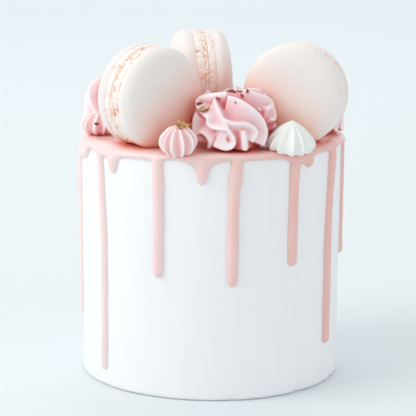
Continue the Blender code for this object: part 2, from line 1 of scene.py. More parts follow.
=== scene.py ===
# %% [markdown]
# # A tall drip cake with macarons, rosettes and kisses
#
# The cake is a straight drum in a smooth white coat. Pink glaze was poured over its top and ran
# down the side in threads that end in beads. Three macarons stand on edge in the glaze, among
# rosettes and kisses that were piped through star nozzles, and dried petals were strewn last.
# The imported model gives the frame: everything below is built in metres where that model lies.

# %% Load the frame
import math
import random

import bmesh
import bpy
from mathutils import Euler, Matrix, Vector, noise


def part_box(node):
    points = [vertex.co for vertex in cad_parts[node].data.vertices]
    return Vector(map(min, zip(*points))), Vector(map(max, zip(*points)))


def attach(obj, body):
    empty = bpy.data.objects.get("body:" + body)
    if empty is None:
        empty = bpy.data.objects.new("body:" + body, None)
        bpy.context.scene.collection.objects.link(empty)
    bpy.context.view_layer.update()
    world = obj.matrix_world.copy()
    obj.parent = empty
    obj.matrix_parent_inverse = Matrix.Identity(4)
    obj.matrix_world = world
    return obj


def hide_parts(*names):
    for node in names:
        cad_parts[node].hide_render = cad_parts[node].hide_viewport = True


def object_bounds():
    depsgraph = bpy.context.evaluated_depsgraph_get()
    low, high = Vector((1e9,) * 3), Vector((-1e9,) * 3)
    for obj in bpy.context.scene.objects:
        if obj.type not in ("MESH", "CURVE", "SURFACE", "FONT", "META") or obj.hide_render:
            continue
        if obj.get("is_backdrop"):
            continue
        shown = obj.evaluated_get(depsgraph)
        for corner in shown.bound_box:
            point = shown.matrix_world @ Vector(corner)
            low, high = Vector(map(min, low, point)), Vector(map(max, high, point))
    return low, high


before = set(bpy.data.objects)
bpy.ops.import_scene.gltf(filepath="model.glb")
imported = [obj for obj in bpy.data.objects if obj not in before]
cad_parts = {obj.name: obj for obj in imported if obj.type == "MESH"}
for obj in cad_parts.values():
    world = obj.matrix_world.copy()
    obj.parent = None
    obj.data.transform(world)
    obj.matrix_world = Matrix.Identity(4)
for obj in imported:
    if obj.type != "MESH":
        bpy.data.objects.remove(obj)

packed_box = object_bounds()
MM = 0.001

# %% [markdown]
# ## The few helpers that everything shares
#
# Colours are picked as sRGB hex values, as a picture shows them, but shaders work in linear
# light, so one function turns them. A second adds a node to a material: its settings are named
# words, and an input is either a plain value or another node's output. The others start a
# material, finish it, and find how open a point is, so that painted shade reddens corners
# and deep folds.

# %% Colours and nodes


def linear(hex_colour):
    """An sRGB hex colour, such as "#F2C9C4", as linear RGBA."""
    shares = [int(hex_colour[i : i + 2], 16) / 255 for i in (1, 3, 5)]
    curved = [c / 12.92 if c <= 0.04045 else ((c + 0.055) / 1.055) ** 2.4 for c in shares]
    return (*curved, 1.0)


def add(tree, kind, inputs=None, stops=(), **settings):
    """Adds a node with its settings, sets or links its inputs, and places a ramp's stops, which
    are pairs of a place and a hex colour."""
    made = tree.nodes.new(kind)
    for name, value in settings.items():
        setattr(made, name, value)
    for name, value in (inputs or {}).items():
        if isinstance(value, bpy.types.NodeSocket):
            tree.links.new(value, made.inputs[name])
        else:
            made.inputs[name].default_value = value
    if stops:
        points = made.color_ramp.elements
        while len(points) < len(stops):
            points.new(0.5)
        for point, (place, hex_colour) in zip(points, stops):
            point.position = place
            point.color = linear(hex_colour)
    return made


print("mid grey in linear light:", round(linear("#808080")[0], 3))

# %% Starting and finishing a material


def start_material(name, values):
    """A new material: its node tree, its shader with the values that are the same all over, and
    the place on the piece in metres."""
    material = bpy.data.materials.new(name)
    material.use_nodes = True
    tree = material.node_tree
    shader = tree.nodes["Principled BSDF"]
    for socket, value in values.items():
        shader.inputs[socket].default_value = value
    place = add(tree, "ShaderNodeTexCoord").outputs["Object"]
    return material, tree, shader, place


def give_surface(tree, shader, colour, relief, strength, depth):
    """Gives a shader its colour, and a fine relief of that depth."""
    tree.links.new(colour, shader.inputs["Base Color"])
    inputs = {"Height": relief, "Strength": strength, "Distance": depth}
    bump = add(tree, "ShaderNodeBump", inputs)
    tree.links.new(bump.outputs["Normal"], shader.inputs["Normal"])


def sinks_in(weight, radius, scale):
    """A shader's values for light that sinks in, with its reach in red, green and blue."""
    return {"Subsurface Weight": weight, "Subsurface Radius": radius, "Subsurface Scale": scale}


def blotched(name, values, size, detail, stops, strength, depth):
    """A look whose colour and fine relief both follow blotches of about one size."""
    material, tree, shader, place = start_material(name, values)
    blotches = {"Vector": place, "Scale": per_metre(size), "Detail": detail}
    blotch = add(tree, "ShaderNodeTexNoise", blotches).outputs["Fac"]
    colour = add(tree, "ShaderNodeValToRGB", {"Fac": blotch}, stops).outputs["Color"]
    give_surface(tree, shader, colour, blotch, strength, depth)
    return material


def openness(tree, reach, fully=1.0):
    """How open a point is to the light, from 0 deep in a corner to 1, felt as far as reach. From
    a share of fully on, a point counts as open."""
    felt = add(tree, "ShaderNodeAmbientOcclusion", {"Distance": reach}, samples=8).outputs["AO"]
    return add(tree, "ShaderNodeMapRange", {"Value": felt, "From Max": fully}).outputs["Result"]


def per_metre(size):
    """The scale of a noise whose blotches are about this size, in metres."""
    return 1.0 / size


print("blotches of 2 mm need a noise scale of", per_metre(2 * MM))

# %% [markdown]
# ## From a bmesh to a piece of the model
#
# Most shapes here are turned: a profile spun about an axis. Smooth profiles are drawn with a
# few points and a curve that passes through them all. A finished piece keeps its object at the
# origin, with its place in its mesh, and rides on the one body of the model.

# %% Lines, turns and spins


def smooth_line(points, steps):
    """A smooth line through the points, with that many steps from each to the next."""
    ends = [points[0], *points, points[-1]]
    line = []
    for a, b, c, d in zip(ends, ends[1:], ends[2:], ends[3:]):
        for step in range(steps):
            t = step / steps
            point = []
            for p, q, r, s in zip(a, b, c, d):
                bend = 2 * p - 5 * q + 4 * r - s + t * (3 * (q - r) + s - p)
                point.append(q + 0.5 * t * (r - p + t * bend))
            line.append(tuple(point))
    line.append(tuple(points[-1]))
    return line


def quarter(steps):
    """The sine and cosine at each step of a quarter turn."""
    turns = [0.5 * math.pi * step / steps for step in range(steps + 1)]
    return [(math.sin(turn), math.cos(turn)) for turn in turns]


def around(radius, angle, height=0.0):
    """The point at a radius and an angle from the front, in degrees towards +X."""
    turn = math.radians(angle)
    return Vector((radius * math.sin(turn), -radius * math.cos(turn), height))


def spun(profile, steps):
    """A closed bmesh turned about Z from a profile that starts and ends on the axis."""
    shape = bmesh.new()
    chain = [shape.verts.new((across, 0, up)) for across, up in profile]
    for one, two in zip(chain, chain[1:]):
        shape.edges.new((one, two))
    turned = {"axis": (0, 0, 1), "cent": (0, 0, 0), "angle": 2 * math.pi, "steps": steps}
    bmesh.ops.spin(shape, geom=chain + shape.edges[:], use_merge=True, **turned)
    bmesh.ops.remove_doubles(shape, verts=shape.verts, dist=0.001 * MM)
    shape.normal_update()
    bmesh.ops.recalc_face_normals(shape, faces=shape.faces)
    return shape


print("a quarter turn in two steps:", [round(sine, 3) for sine, _ in quarter(2)])

# %% Melting, cutting and keeping a piece


def to_object(name, shape):
    """A smooth-shaded object in the scene, made from a bmesh."""
    mesh = bpy.data.meshes.new(name)
    shape.to_mesh(mesh)
    shape.free()
    mesh.shade_smooth()
    made = bpy.data.objects.new(name, mesh)
    bpy.context.scene.collection.objects.link(made)
    return made


def applied(piece):
    """Makes the mesh that the piece's modifiers give its own."""
    bpy.context.view_layer.update()
    graph = bpy.context.evaluated_depsgraph_get()
    mesh = bpy.data.meshes.new_from_object(piece.evaluated_get(graph))
    piece.modifiers.clear()
    piece.data = mesh
    mesh.shade_smooth()
    return piece


def melted(piece, cell, smoothings, factor=0.5):
    """Melts closed shapes that cross each other into one skin, and softens where they meet."""
    remesh = piece.modifiers.new("Melt", "REMESH")
    remesh.mode = "VOXEL"
    remesh.voxel_size = cell
    smooth = piece.modifiers.new("Soften", "SMOOTH")
    smooth.iterations = smoothings
    smooth.factor = factor
    return applied(piece)


def cut_away(piece, rooms):
    """Cuts the room that each neighbour takes out of a piece."""
    for room in rooms:
        boolean = piece.modifiers.new("Room", "BOOLEAN")
        boolean.operation = "DIFFERENCE"
        boolean.solver = "MANIFOLD"
        boolean.object = room
        applied(piece)
    return piece


def keep(piece, material, slot, *nodes):
    """Dresses a finished piece, makes it ride on the root body, and hides the imported nodes
    that it stands for.
    """
    piece.data.materials.clear()
    piece.data.materials.append(material)
    piece.data.polygons.foreach_set("material_index", [0] * len(piece.data.polygons))
    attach(piece, "root")
    if nodes:
        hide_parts(*nodes)
    print(piece.name, len(piece.data.polygons), "faces")
    return piece


# %% [markdown]
# ## Camera
#
# The picture was taken with a long lens from a little above the cake, so upright lines stay
# nearly parallel. The camera stands one metre in front of the middle, looks down by about
# eleven and a half degrees, and leans by half a degree.

# %% Camera
CAMERA_BACK = 1.0
CAMERA_HEIGHT = 0.28495
CAMERA_ASIDE = -0.0015
CAMERA_PITCH = 0.2020  # radians below level
CAMERA_ROLL = 0.0090  # radians
PICTURE_SIDE = 416
FOCAL_PIXELS = 2070.1  # the lens's focal length, in pixels of the picture
SENSOR = 36.0

camera = bpy.data.objects.new("camera", bpy.data.cameras.new("camera"))
camera.data.sensor_width = SENSOR
camera.data.lens = SENSOR * FOCAL_PIXELS / PICTURE_SIDE
level = Vector((1, 0, 0))
upward = Vector((0, math.sin(CAMERA_PITCH), math.cos(CAMERA_PITCH)))
backward = Vector((0, -math.cos(CAMERA_PITCH), math.sin(CAMERA_PITCH)))
rolled_level = level * math.cos(CAMERA_ROLL) + upward * math.sin(CAMERA_ROLL)
rolled_upward = upward * math.cos(CAMERA_ROLL) - level * math.sin(CAMERA_ROLL)
camera.matrix_world = Matrix.Translation((CAMERA_ASIDE, -CAMERA_BACK, CAMERA_HEIGHT)) @ (
    Matrix((rolled_level, rolled_upward, backward)).transposed().to_4x4()
)
bpy.context.scene.collection.objects.link(camera)
bpy.context.scene.camera = camera


def sight(pixel):
    """The camera's place and the direction in which it sees a pixel of the picture."""
    across = (pixel[0] - PICTURE_SIDE / 2) / FOCAL_PIXELS
    up = (PICTURE_SIDE / 2 - pixel[1]) / FOCAL_PIXELS
    towards = rolled_level * across + rolled_upward * up - backward
    return camera.matrix_world.translation, towards.normalized()


print("lens", round(camera.data.lens), "on a sensor of", SENSOR)

# %% [markdown]
# ## Studio
#
# A bright, airy studio: pale blue-grey all round, one wide soft light high on the left, and a
# weak one on the right, so that the right side of the drum turns a soft grey and nothing
# throws a hard shadow. The floor runs back into a curved backdrop, which a third light washes.

# %% Floor and backdrop
FLOOR_HALF = 2.5
STUDIO_BACK = 1.6
COVE_RADIUS = 0.8
COVE_STEPS = 16
BACKDROP_TOP = 2.5

backdrop_line = [(-FLOOR_HALF, 0.0)]
for sine, cosine in quarter(COVE_STEPS):
    backdrop_line.append((STUDIO_BACK + COVE_RADIUS * sine, COVE_RADIUS * (1 - cosine)))
backdrop_line.append((STUDIO_BACK + COVE_RADIUS, BACKDROP_TOP))
floor_shape = bmesh.new()
rim = [floor_shape.verts.new((-FLOOR_HALF, deep, high)) for deep, high in backdrop_line]
rim_edges = [floor_shape.edges.new(pair) for pair in zip(rim, rim[1:])]
swept = bmesh.ops.extrude_edge_only(floor_shape, edges=rim_edges)["geom"]
bmesh.ops.translate(
    floor_shape,
    verts=[part for part in swept if isinstance(part, bmesh.types.BMVert)],
    vec=(2 * FLOOR_HALF, 0, 0),
)
floor = to_object("floor", floor_shape)
# Uncoated paper throws no shine, so it stays an even pale grey
paper, *_ = start_material(
    "matt backdrop paper", {"Base Color": linear("#E6ECEE"), "Roughness": 0.9}
)
floor.data.materials.append(paper)
floor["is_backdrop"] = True
print("backdrop", len(floor.data.polygons), "faces")

# %% Lights


def add_softbox(name, where, aim, side, power, hex_colour):
    """A square area light that faces a point."""
    light = bpy.data.lights.new(name, "AREA")
    light.size = side
    light.energy = power
    light.color = linear(hex_colour)[:3]
    lamp = bpy.data.objects.new(name, light)
    lamp.location = where
    lamp.rotation_euler = (Vector(aim) - Vector(where)).to_track_quat("-Z", "Y").to_euler()
    bpy.context.scene.collection.objects.link(lamp)


add_softbox("window", (-1.3, -0.45, 1.05), (0, 0, 0.08), 1.1, 11.5, "#FFFDFA")
add_softbox("fill", (1.2, -1.2, 0.7), (0, 0, 0.08), 1.2, 2.4, "#FFFCFA")
add_softbox("wall_wash", (0.0, 1.1, 2.2), (0, 2.4, 0.5), 1.6, 14.0, "#FFFFFF")
world = bpy.data.worlds.new("studio")
world.use_nodes = True
sky = world.node_tree.nodes["Background"].inputs
sky["Color"].default_value = linear("#ECEFF1")
sky["Strength"].default_value = 0.84
bpy.context.scene.world = world
bpy.context.scene.view_settings.view_transform = "Standard"
print("softboxes", [light.name for light in bpy.data.lights])

# %% [markdown]
# ## The white coat
#
# The drum is covered in buttercream, smoothed with a tall scraper. Buttercream is an emulsion of
# butter and sugar: pale, satin and slightly see-through, so light sinks in a little. The scraper
# leaves it straight to the eye, with long faint waves and upright streaks. The profile is
# spun, and then each point of the side is moved in or out by those waves.

# %% Buttercream, white
CAKE_RADIUS = 63.1 * MM
CAKE_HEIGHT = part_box("cake")[1].z
CAKE_WAVE = 0.25 * MM
COAT_TAPER = 0.4 * MM  # how much wider the coat is near its top
GAP = 0.3 * MM
STREAK_WIDTH = 2.5 * MM
STREAK_LENGTH = 60.0 * MM

white_cream, tree, shader, place = start_material(
    "white buttercream, scraped smooth",
    {"Roughness": 0.48, "IOR": 1.46, **sinks_in(0.12, (1.0, 0.8, 0.7), 1.5 * MM)},
)
upright = {"Vector": place, "Scale": (1, 1, STREAK_WIDTH / STREAK_LENGTH)}
stretched = add(tree, "ShaderNodeMapping", upright).outputs["Vector"]
marks = {"Vector": stretched, "Scale": per_metre(STREAK_WIDTH), "Detail": 3.0, "Roughness": 0.6}
streaks = add(tree, "ShaderNodeTexNoise", marks).outputs["Fac"]
whites = [(0.3, "#F4F5F7"), (0.7, "#F7F8FA")]
colour = add(tree, "ShaderNodeValToRGB", {"Fac": streaks}, whites).outputs["Color"]
give_surface(tree, shader, colour, streaks, 0.15, 0.15 * MM)
print(white_cream.name, len(tree.nodes), "nodes")

# %% The drum's waves and bites
DRUM_STEPS = 240
DRUM_ROWS = 40
TOP_ROUND = 1.2 * MM
FOOT_ROUND = 2.2 * MM
ROUND_STEPS = 6
FINE_WAVE = 0.06 * MM  # how far the scraper's small marks stand out
MARK_WIDTH = 6.25 * MM
MARK_LENGTH = 40.0 * MM
FOOT_GRAIN = 2.5 * MM
FOOT_UNEVEN = 0.5 * MM  # how far the coat's lower edge wanders where it met the surface
NICK_SIZE = 3.0 * MM
NICK_DEPTH = 1.1 * MM
NICKS = (9.0, 42.0, 71.0, 128.0, -97.0, -150.0)  # degrees: small bites along the foot


def coat_wave(point):
    """How far the coat stands out or in at a point of the side, as long waves."""
    angle = math.atan2(point.x, -point.y)
    rise = point.z / CAKE_HEIGHT
    slow = 0.6 * math.sin(2 * angle + 0.8 + rise)
    quick = 0.4 * math.sin(5 * angle - 2.5 * rise)
    wider = COAT_TAPER * min(max((rise - 0.35) / 0.5, 0.0), 1.0)
    return CAKE_WAVE * (slow + quick) + wider


def nick_depth(point):
    """How deep the small bites along the foot are at a point."""
    deepest = 0.0
    for angle in NICKS:
        away = (point - around(CAKE_RADIUS, angle, 0.5 * MM)).length / NICK_SIZE
        deepest = max(deepest, math.exp(-2 * away * away))
    return NICK_DEPTH * deepest


wave = coat_wave(around(CAKE_RADIUS, 0, 0.5 * CAKE_HEIGHT))
print("the coat stands out by", round(wave / MM, 2), "mm half way up the front")

# %% The drum


def drum_profile():
    """The drum's profile from the middle of its top to the middle of its foot."""
    line = [(0, CAKE_HEIGHT), (0.5 * CAKE_RADIUS, CAKE_HEIGHT)]
    for sine, cosine in quarter(ROUND_STEPS):
        line.append((CAKE_RADIUS - TOP_ROUND * (1 - sine), CAKE_HEIGHT - TOP_ROUND * (1 - cosine)))
    high = CAKE_HEIGHT - TOP_ROUND
    for row in range(1, DRUM_ROWS):
        line.append((CAKE_RADIUS, high + (FOOT_ROUND - high) * row / DRUM_ROWS))
    for sine, cosine in quarter(ROUND_STEPS):
        line.append((CAKE_RADIUS - FOOT_ROUND * (1 - cosine), FOOT_ROUND * (1 - sine)))
    line += [(0.5 * CAKE_RADIUS, 0), (0, 0)]
    return line


drum = spun(drum_profile(), DRUM_STEPS)
for vert in drum.verts:
    across = Vector((vert.co.x, vert.co.y, 0))
    if across.length > 0.9 * CAKE_RADIUS:
        out = across.normalized()
        mark = Vector((across.x / MARK_WIDTH, across.y / MARK_WIDTH, vert.co.z / MARK_LENGTH))
        foot = max(0.0, 1 - vert.co.z / (2.5 * FOOT_ROUND)) ** 2
        uneven = noise.noise(vert.co / FOOT_GRAIN) * FOOT_UNEVEN * foot
        uneven += noise.noise(mark) * FINE_WAVE
        vert.co += out * (coat_wave(vert.co) + uneven - nick_depth(vert.co))
cake = to_object("cake_coat", drum)
keep(cake, white_cream, "white_buttercream", "cake")

# %% [markdown]
# ## The drip glaze
#
# The glaze is a pink ganache, poured warm: fat and sugar that set to a smooth skin with a soft
# gloss. It lies as a pool on top, rounds over the rim, and runs down in threads. Gravity draws a
# drip long and thin, and its end swells into a bead. Pool and threads are made as closed
# shapes that cross each other, and melting them together rounds every join, as a liquid does.

# %% Ganache, pink
# Red light goes deepest into it. Painted light makes it paler on the left and pinker on the
# right, and painted shade makes its corners on top redder.
GLAZE_CLOUD = 14.0 * MM
CLOUD_SHARE = 0.3
PAINTED_LIGHT_REACH = 65.0 * MM
CORNER_SHADE_START = 111.0 * MM  # the height from which painted shade turns corners redder
CORNER_SHADE_FULL = 117.0 * MM
GLAZE_CORNER = 7.0 * MM
GLAZE_DIMPLE = 5.0 * MM
glaze_look, tree, shader, place = start_material(
    "pink ganache, poured and set",
    {
        "Roughness": 0.25,
        "IOR": 1.46,
        **sinks_in(0.25, (1.0, 0.45, 0.4), 1.2 * MM),
        "Coat Weight": 0.3,
        "Coat Roughness": 0.18,
    },
)
clouds = add(
    tree, "ShaderNodeTexNoise", {"Vector": place, "Scale": per_metre(GLAZE_CLOUD), "Detail": 2.0}
).outputs["Fac"]
axes = add(tree, "ShaderNodeSeparateXYZ", {"Vector": place}).outputs
# painted light: across the cake the glaze turns paler to the left and pinker to the right
sides = {"Value": axes["X"], "From Min": -PAINTED_LIGHT_REACH, "From Max": PAINTED_LIGHT_REACH}
across = add(tree, "ShaderNodeMapRange", sides).outputs["Result"]
shares = {0: clouds, 1: CLOUD_SHARE, 2: across}
mottled_and_painted_light = add(tree, "ShaderNodeMath", shares, operation="MULTIPLY_ADD").outputs["Value"]
# random clouds of tone, plus the painted light from left to right
pinks = [(0.15, "#FBE3E1"), (0.5, "#F7D9D6"), (0.75, "#F2CDC7"), (1.0, "#F0C2BA")]
pale = add(tree, "ShaderNodeValToRGB", {"Fac": mottled_and_painted_light}, pinks).outputs["Color"]
heights = {"Value": axes["Z"], "From Min": CORNER_SHADE_START, "From Max": CORNER_SHADE_FULL}
on_top = add(tree, "ShaderNodeMapRange", heights).outputs["Result"]
# painted shade: on top, corners beside the toppings turn coral where little light reaches
painted_corner_shade = {"Factor": openness(tree, GLAZE_CORNER, 0.85), "A": linear("#F58672"), "B": pale}
shaded = add(tree, "ShaderNodeMix", painted_corner_shade, data_type="RGBA").outputs["Result"]
places = {"Factor": on_top, "A": pale, "B": shaded}
colour = add(tree, "ShaderNodeMix", places, data_type="RGBA").outputs["Result"]
skin = add(
    tree, "ShaderNodeTexNoise", {"Vector": place, "Scale": per_metre(GLAZE_DIMPLE), "Detail": 1.0}
).outputs["Fac"]
give_surface(tree, shader, colour, skin, 0.3, 0.2 * MM)
print(glaze_look.name, len(tree.nodes), "nodes")

# %% Sizes of the pool and the drips
GLAZE_TOP = 118.4 * MM
GLAZE_RADIUS = 65.6 * MM
GLAZE_EDGE = 114.2 * MM
RIM_DROP = 3.2 * MM
RIM_RUN = 7.0 * MM
RIM_STEPS = 8
SKIRT_LIP = 0.5 * MM
GLAZE_STEPS = 360
GLAZE_CELL = 0.72 * MM
GLAZE_SMOOTHINGS = 5
GLAZE_SOFTNESS = 0.6

# Each drip: angle, how far its top is off that angle, height of its tip, width of its thread and
# of its bead, how far and how wide the skirt droops into it, then the height of a lump on the
# thread and how many times wider it is there (degrees and mm)
DRIPS = (
    (-87.0, 1.0, 27.8, 4.6, 4.8, 2.0, 4.0, 96.0, 1.22),
    (-52.8, -3.1, 7.8, 4.8, 5.0, 2.0, 3.5, 104.0, 1.0),
    (-46.3, 0.0, 105.3, 6.2, 5.2, 5.0, 4.0, 111.0, 1.0),
    (-22.8, -0.3, 58.3, 5.8, 5.6, 1.5, 3.5, 103.0, 1.12),
    (-3.7, 0.0, 103.7, 6.0, 5.0, 8.5, 5.5, 111.0, 1.0),
    (9.2, 1.7, 55.1, 5.7, 5.3, 0.6, 4.0, 107.0, 1.3),
    (36.9, 0.8, 62.6, 5.7, 5.6, 2.0, 4.0, 110.0, 1.1),
    (45.8, 0.0, 109.1, 6.0, 5.8, 4.5, 4.0, 111.0, 1.0),
    (61.5, 3.0, 20.0, 5.6, 5.8, 1.5, 3.5, 109.0, 1.1),
    (88.5, 0.0, 58.4, 4.4, 5.2, 1.0, 3.0, 104.0, 1.0),
    (106.0, -1.0, 38.0, 4.4, 5.0, 3.0, 5.0, 104.0, 1.1),
    (122.0, 0.5, 92.0, 4.8, 5.2, 4.0, 5.0, 104.0, 1.0),
    (141.0, -0.6, 50.0, 4.6, 5.2, 2.0, 5.0, 105.0, 1.2),
    (163.0, 0.4, 72.0, 5.0, 5.6, 3.0, 5.0, 104.0, 1.0),
    (-172.0, 0.8, 24.0, 4.4, 5.0, 2.5, 5.0, 103.0, 1.3),
    (-150.0, -0.5, 84.0, 4.8, 5.4, 5.0, 5.0, 104.0, 1.0),
    (-128.0, 0.6, 46.0, 4.6, 5.2, 2.5, 5.0, 106.0, 1.2),
    (-106.0, 0.5, 96.0, 4.4, 4.8, 3.5, 5.0, 104.0, 1.0),
)
# The height of the skirt's lower edge between the drips, as (angle, mm)
SKIRT_EDGE = (
    (-180, 114.4), (-130, 115.4), (-105, 113.0), (-90, 107.5), (-78, 107.5), (-72, 108.6),
    (-64, 114.9), (-58, 114.0), (-50, 113.0), (-40, 114.4), (-28, 114.6), (-14, 115.8),
    (6, 116.0), (18, 115.3), (30, 115.2), (41, 112.6), (49, 115.8), (58, 115.2),
    (71, 116.0), (82, 115.6), (95, 114.4), (130, 115.2), (180, 114.4),
)
LUMP_REACH = 5.0 * MM
POOL_RIPPLE = 0.35 * MM
RIPPLE_START = GLAZE_TOP - 1.5 * MM
BACK_CLEAR = 0.1 * MM  # how far the threads' backs lie inside the coat
RIPPLE_LENGTH = 11.0 * MM
THREAD_UNEVEN = 0.07  # how much a thread's width wanders, as a share
THREAD_STEP = 3.0 * MM
print(len(DRIPS), "drips")

# %% The skirt's lower edge


def droop(angle):
    """How far the skirt's lower edge hangs at an angle, drawn down by the drips near it."""
    deepest = 0.0
    for place, off, _, _, _, depth, width, _, _ in DRIPS:
        aside = (angle - place - off + 180) % 360 - 180
        aside = math.radians(aside) * GLAZE_RADIUS / (width * MM)
        deepest = max(deepest, depth * MM / (1 + aside * aside) ** 1.5)
    return deepest


def skirt_edge(angle):
    """The height of the skirt's lower edge at an angle, before any drip draws it down."""
    for (one, low), (two, high) in zip(SKIRT_EDGE, SKIRT_EDGE[1:]):
        if angle <= two:
            share = (angle - one) / (two - one)
            return (low + (high - low) * (1 - math.cos(math.pi * share)) / 2) * MM
    return SKIRT_EDGE[-1][1] * MM


def glaze_height(point):
    """The height of the glaze's surface under a point."""
    out = Vector((point.x, point.y)).length - (GLAZE_RADIUS - RIM_RUN)
    share = min(max(out / RIM_RUN, 0.0), 1.0)
    return GLAZE_TOP - RIM_DROP * (1 - math.sqrt(1 - share * share))


print("the skirt is lowest at", round(min(height for _, height in SKIRT_EDGE), 1), "mm")

# %% Pool, rim and skirt
flat = GLAZE_RADIUS - RIM_RUN
pool_line = [(0, GLAZE_TOP), (flat, GLAZE_TOP)]
for sine, cosine in quarter(RIM_STEPS)[1:]:
    pool_line.append((flat + RIM_RUN * sine, GLAZE_TOP - RIM_DROP * (1 - cosine)))
pool_line += [
    (GLAZE_RADIUS - 0.4 * MM, GLAZE_EDGE + SKIRT_LIP),
    (GLAZE_RADIUS - 1.0 * MM, GLAZE_EDGE),
    (CAKE_RADIUS + GAP, GLAZE_EDGE - SKIRT_LIP),
    (CAKE_RADIUS - 2.0 * MM, GLAZE_EDGE - SKIRT_LIP),
    (CAKE_RADIUS - 2.0 * MM, CAKE_HEIGHT + GAP),
    (0, CAKE_HEIGHT + GAP),
]
pool = spun(pool_line, GLAZE_STEPS)
for vert in pool.verts:
    if vert.co.xy.length > flat and vert.co.z < GLAZE_TOP - 0.2 * MM:
        angle = math.degrees(math.atan2(vert.co.x, -vert.co.y))
        low = min((GLAZE_TOP - vert.co.z) / (GLAZE_TOP - GLAZE_EDGE), 1.0)
        hang = (GLAZE_EDGE + 2 * SKIRT_LIP - vert.co.z) / (3 * SKIRT_LIP)
        hang = min(max(hang, 0.0), 1.0)
        vert.co.z += low * (skirt_edge(angle) - GLAZE_EDGE) - hang * droop(angle)
glaze = to_object("glaze_with_drips", pool)
print("pool", len(glaze.data.polygons), "faces")

# %% A drip's sections


def drip_sections(drip, wander):
    """The heights and radii of a drip's sections, from its root in the skirt to its tip."""
    _, _, tip, thread, bead, _, _, lump, swell = drip
    tip *= MM
    lump *= MM
    thread *= MM / 2
    bead *= MM / 2
    top = skirt_edge(drip[0]) - SKIRT_LIP
    neck = tip + max(2 * bead, min(0.3 * (top - tip), 8 * MM))
    sections = [(top + 2 * MM, 0.5 * thread)]
    rows = max(2, round((top - neck) / THREAD_STEP))
    for row in range(rows):
        height = top + (neck - top) * row / rows
        near = math.exp(-1.5 * ((height - lump) / LUMP_REACH) ** 2)
        uneven = 1 + THREAD_UNEVEN * noise.noise(Vector((wander, height / (9 * MM), 0)))
        sections.append((height, thread * uneven * (1 + (swell - 1) * near)))
    for share in (0.0, 0.25, 0.5, 0.75, 1.0):
        swelling = thread + (bead - thread) * (1 - math.cos(math.pi * share)) / 2
        sections.append((neck + (tip + 1.2 * bead - neck) * share, swelling))
    for turn in (20, 40, 58, 72, 83):
        lower = 1.2 * bead * (1 - math.sin(math.radians(turn)))
        sections.append((tip + lower, bead * math.cos(math.radians(turn))))
    return sections


print("sections of each drip", [len(drip_sections(drip, 0.0)) for drip in DRIPS])

# %% Threads and beads
threads = bpy.data.curves.new("threads", "CURVE")
threads.dimensions = "3D"
threads.bevel_depth = 1.0
threads.bevel_resolution = 6
threads.use_fill_caps = True
for number, drip in enumerate(DRIPS):
    sections = drip_sections(drip, 7.3 * number)
    top, tip = sections[1][0], sections[-1][0]
    spline = threads.splines.new("POLY")
    spline.points.add(len(sections) - 1)
    for point, (height, radius) in zip(spline.points, sections):
        share = min((height - tip) / (top - tip), 1.0)
        sway = 0.25 * noise.noise(Vector((number * 3.1, 2.0, height / (20 * MM))))
        angle = drip[0] + drip[1] * max(0.0, 2 * share - 1) ** 2 + sway
        wave = coat_wave(around(CAKE_RADIUS, angle, height))
        point.co = (*around(CAKE_RADIUS - GAP + wave, angle, height), 1)
        point.radius = radius
thread_curve = bpy.data.objects.new("threads", threads)
bpy.context.scene.collection.objects.link(thread_curve)
bpy.context.view_layer.update()
thread_mesh = bpy.data.meshes.new_from_object(
    thread_curve.evaluated_get(bpy.context.evaluated_depsgraph_get())
)
bpy.data.objects.remove(thread_curve)
joined = bmesh.new()
joined.from_mesh(glaze.data)
joined.from_mesh(thread_mesh)
bmesh.ops.remove_doubles(joined, verts=joined.verts, dist=0.005 * MM)
joined.to_mesh(glaze.data)
joined.free()
melted(glaze, GLAZE_CELL, GLAZE_SMOOTHINGS, GLAZE_SOFTNESS)
print("melted with its threads", len(glaze.data.polygons), "faces")

# %% Lay the threads' backs on the coat
for vert in glaze.data.vertices:
    if vert.co.z > RIPPLE_START:
        vert.co.z += POOL_RIPPLE * noise.noise(vert.co / RIPPLE_LENGTH)
    across = Vector((vert.co.x, vert.co.y, 0))
    side = CAKE_RADIUS + coat_wave(vert.co) - BACK_CLEAR
    if vert.co.z < CAKE_HEIGHT - TOP_ROUND and 0 < across.length < side:
        flat_back = across * (side / across.length)
        vert.co = (flat_back.x, flat_back.y, vert.co.z)
keep(glaze, glaze_look, "glaze", "drip_glaze")

# %% [markdown]
# ## Macarons
#
# A macaron shell is baked almond meringue. Its skin dries before baking, so the top stays smooth
# and matt, and the batter lifts on a ruffled, bubbly foot.
# Two shells hold a thin peach cream. Shell and foot are one spun profile, and the foot's bubbles
# are pushed into the mesh. A point attribute remembers how deep each bubble's pit is, and the
# material turns those pits peach, more so the deeper they are.

# %% Baked meringue shell
SPECK_SIZE = 0.9 * MM
GRAIN_SIZE = 1.2 * MM
SHELL_CORNER = 22.0 * MM
# Ground almonds leave a faint grain, and a dried skin is matt; light sinks a little way in
shell_look, tree, shader, place = start_material(
    "almond meringue shell, baked",
    {"Roughness": 0.62, "IOR": 1.45, **sinks_in(0.2, (1.0, 0.7, 0.55), 1.2 * MM)},
)
pit = add(tree, "ShaderNodeAttribute", attribute_name="pit").outputs["Fac"]
specks = {"Vector": place, "Scale": per_metre(SPECK_SIZE), "Detail": 3.0, "Roughness": 0.65}
mottle = add(tree, "ShaderNodeTexNoise", specks).outputs["Fac"]
skins = [(0.24, "#E8D8CE"), (0.34, "#F0E8E4"), (0.7, "#F3EEEB")]
skin_colour = add(tree, "ShaderNodeValToRGB", {"Fac": mottle}, skins).outputs["Color"]
pits = [(0.0, "#F7F1ED"), (0.5, "#F6E6DC"), (0.8, "#EBB898"), (1.0, "#DE9468")]
pit_colour = add(tree, "ShaderNodeValToRGB", {"Fac": pit}, pits).outputs["Color"]
foot = add(tree, "ShaderNodeAttribute", attribute_name="foot").outputs["Fac"]
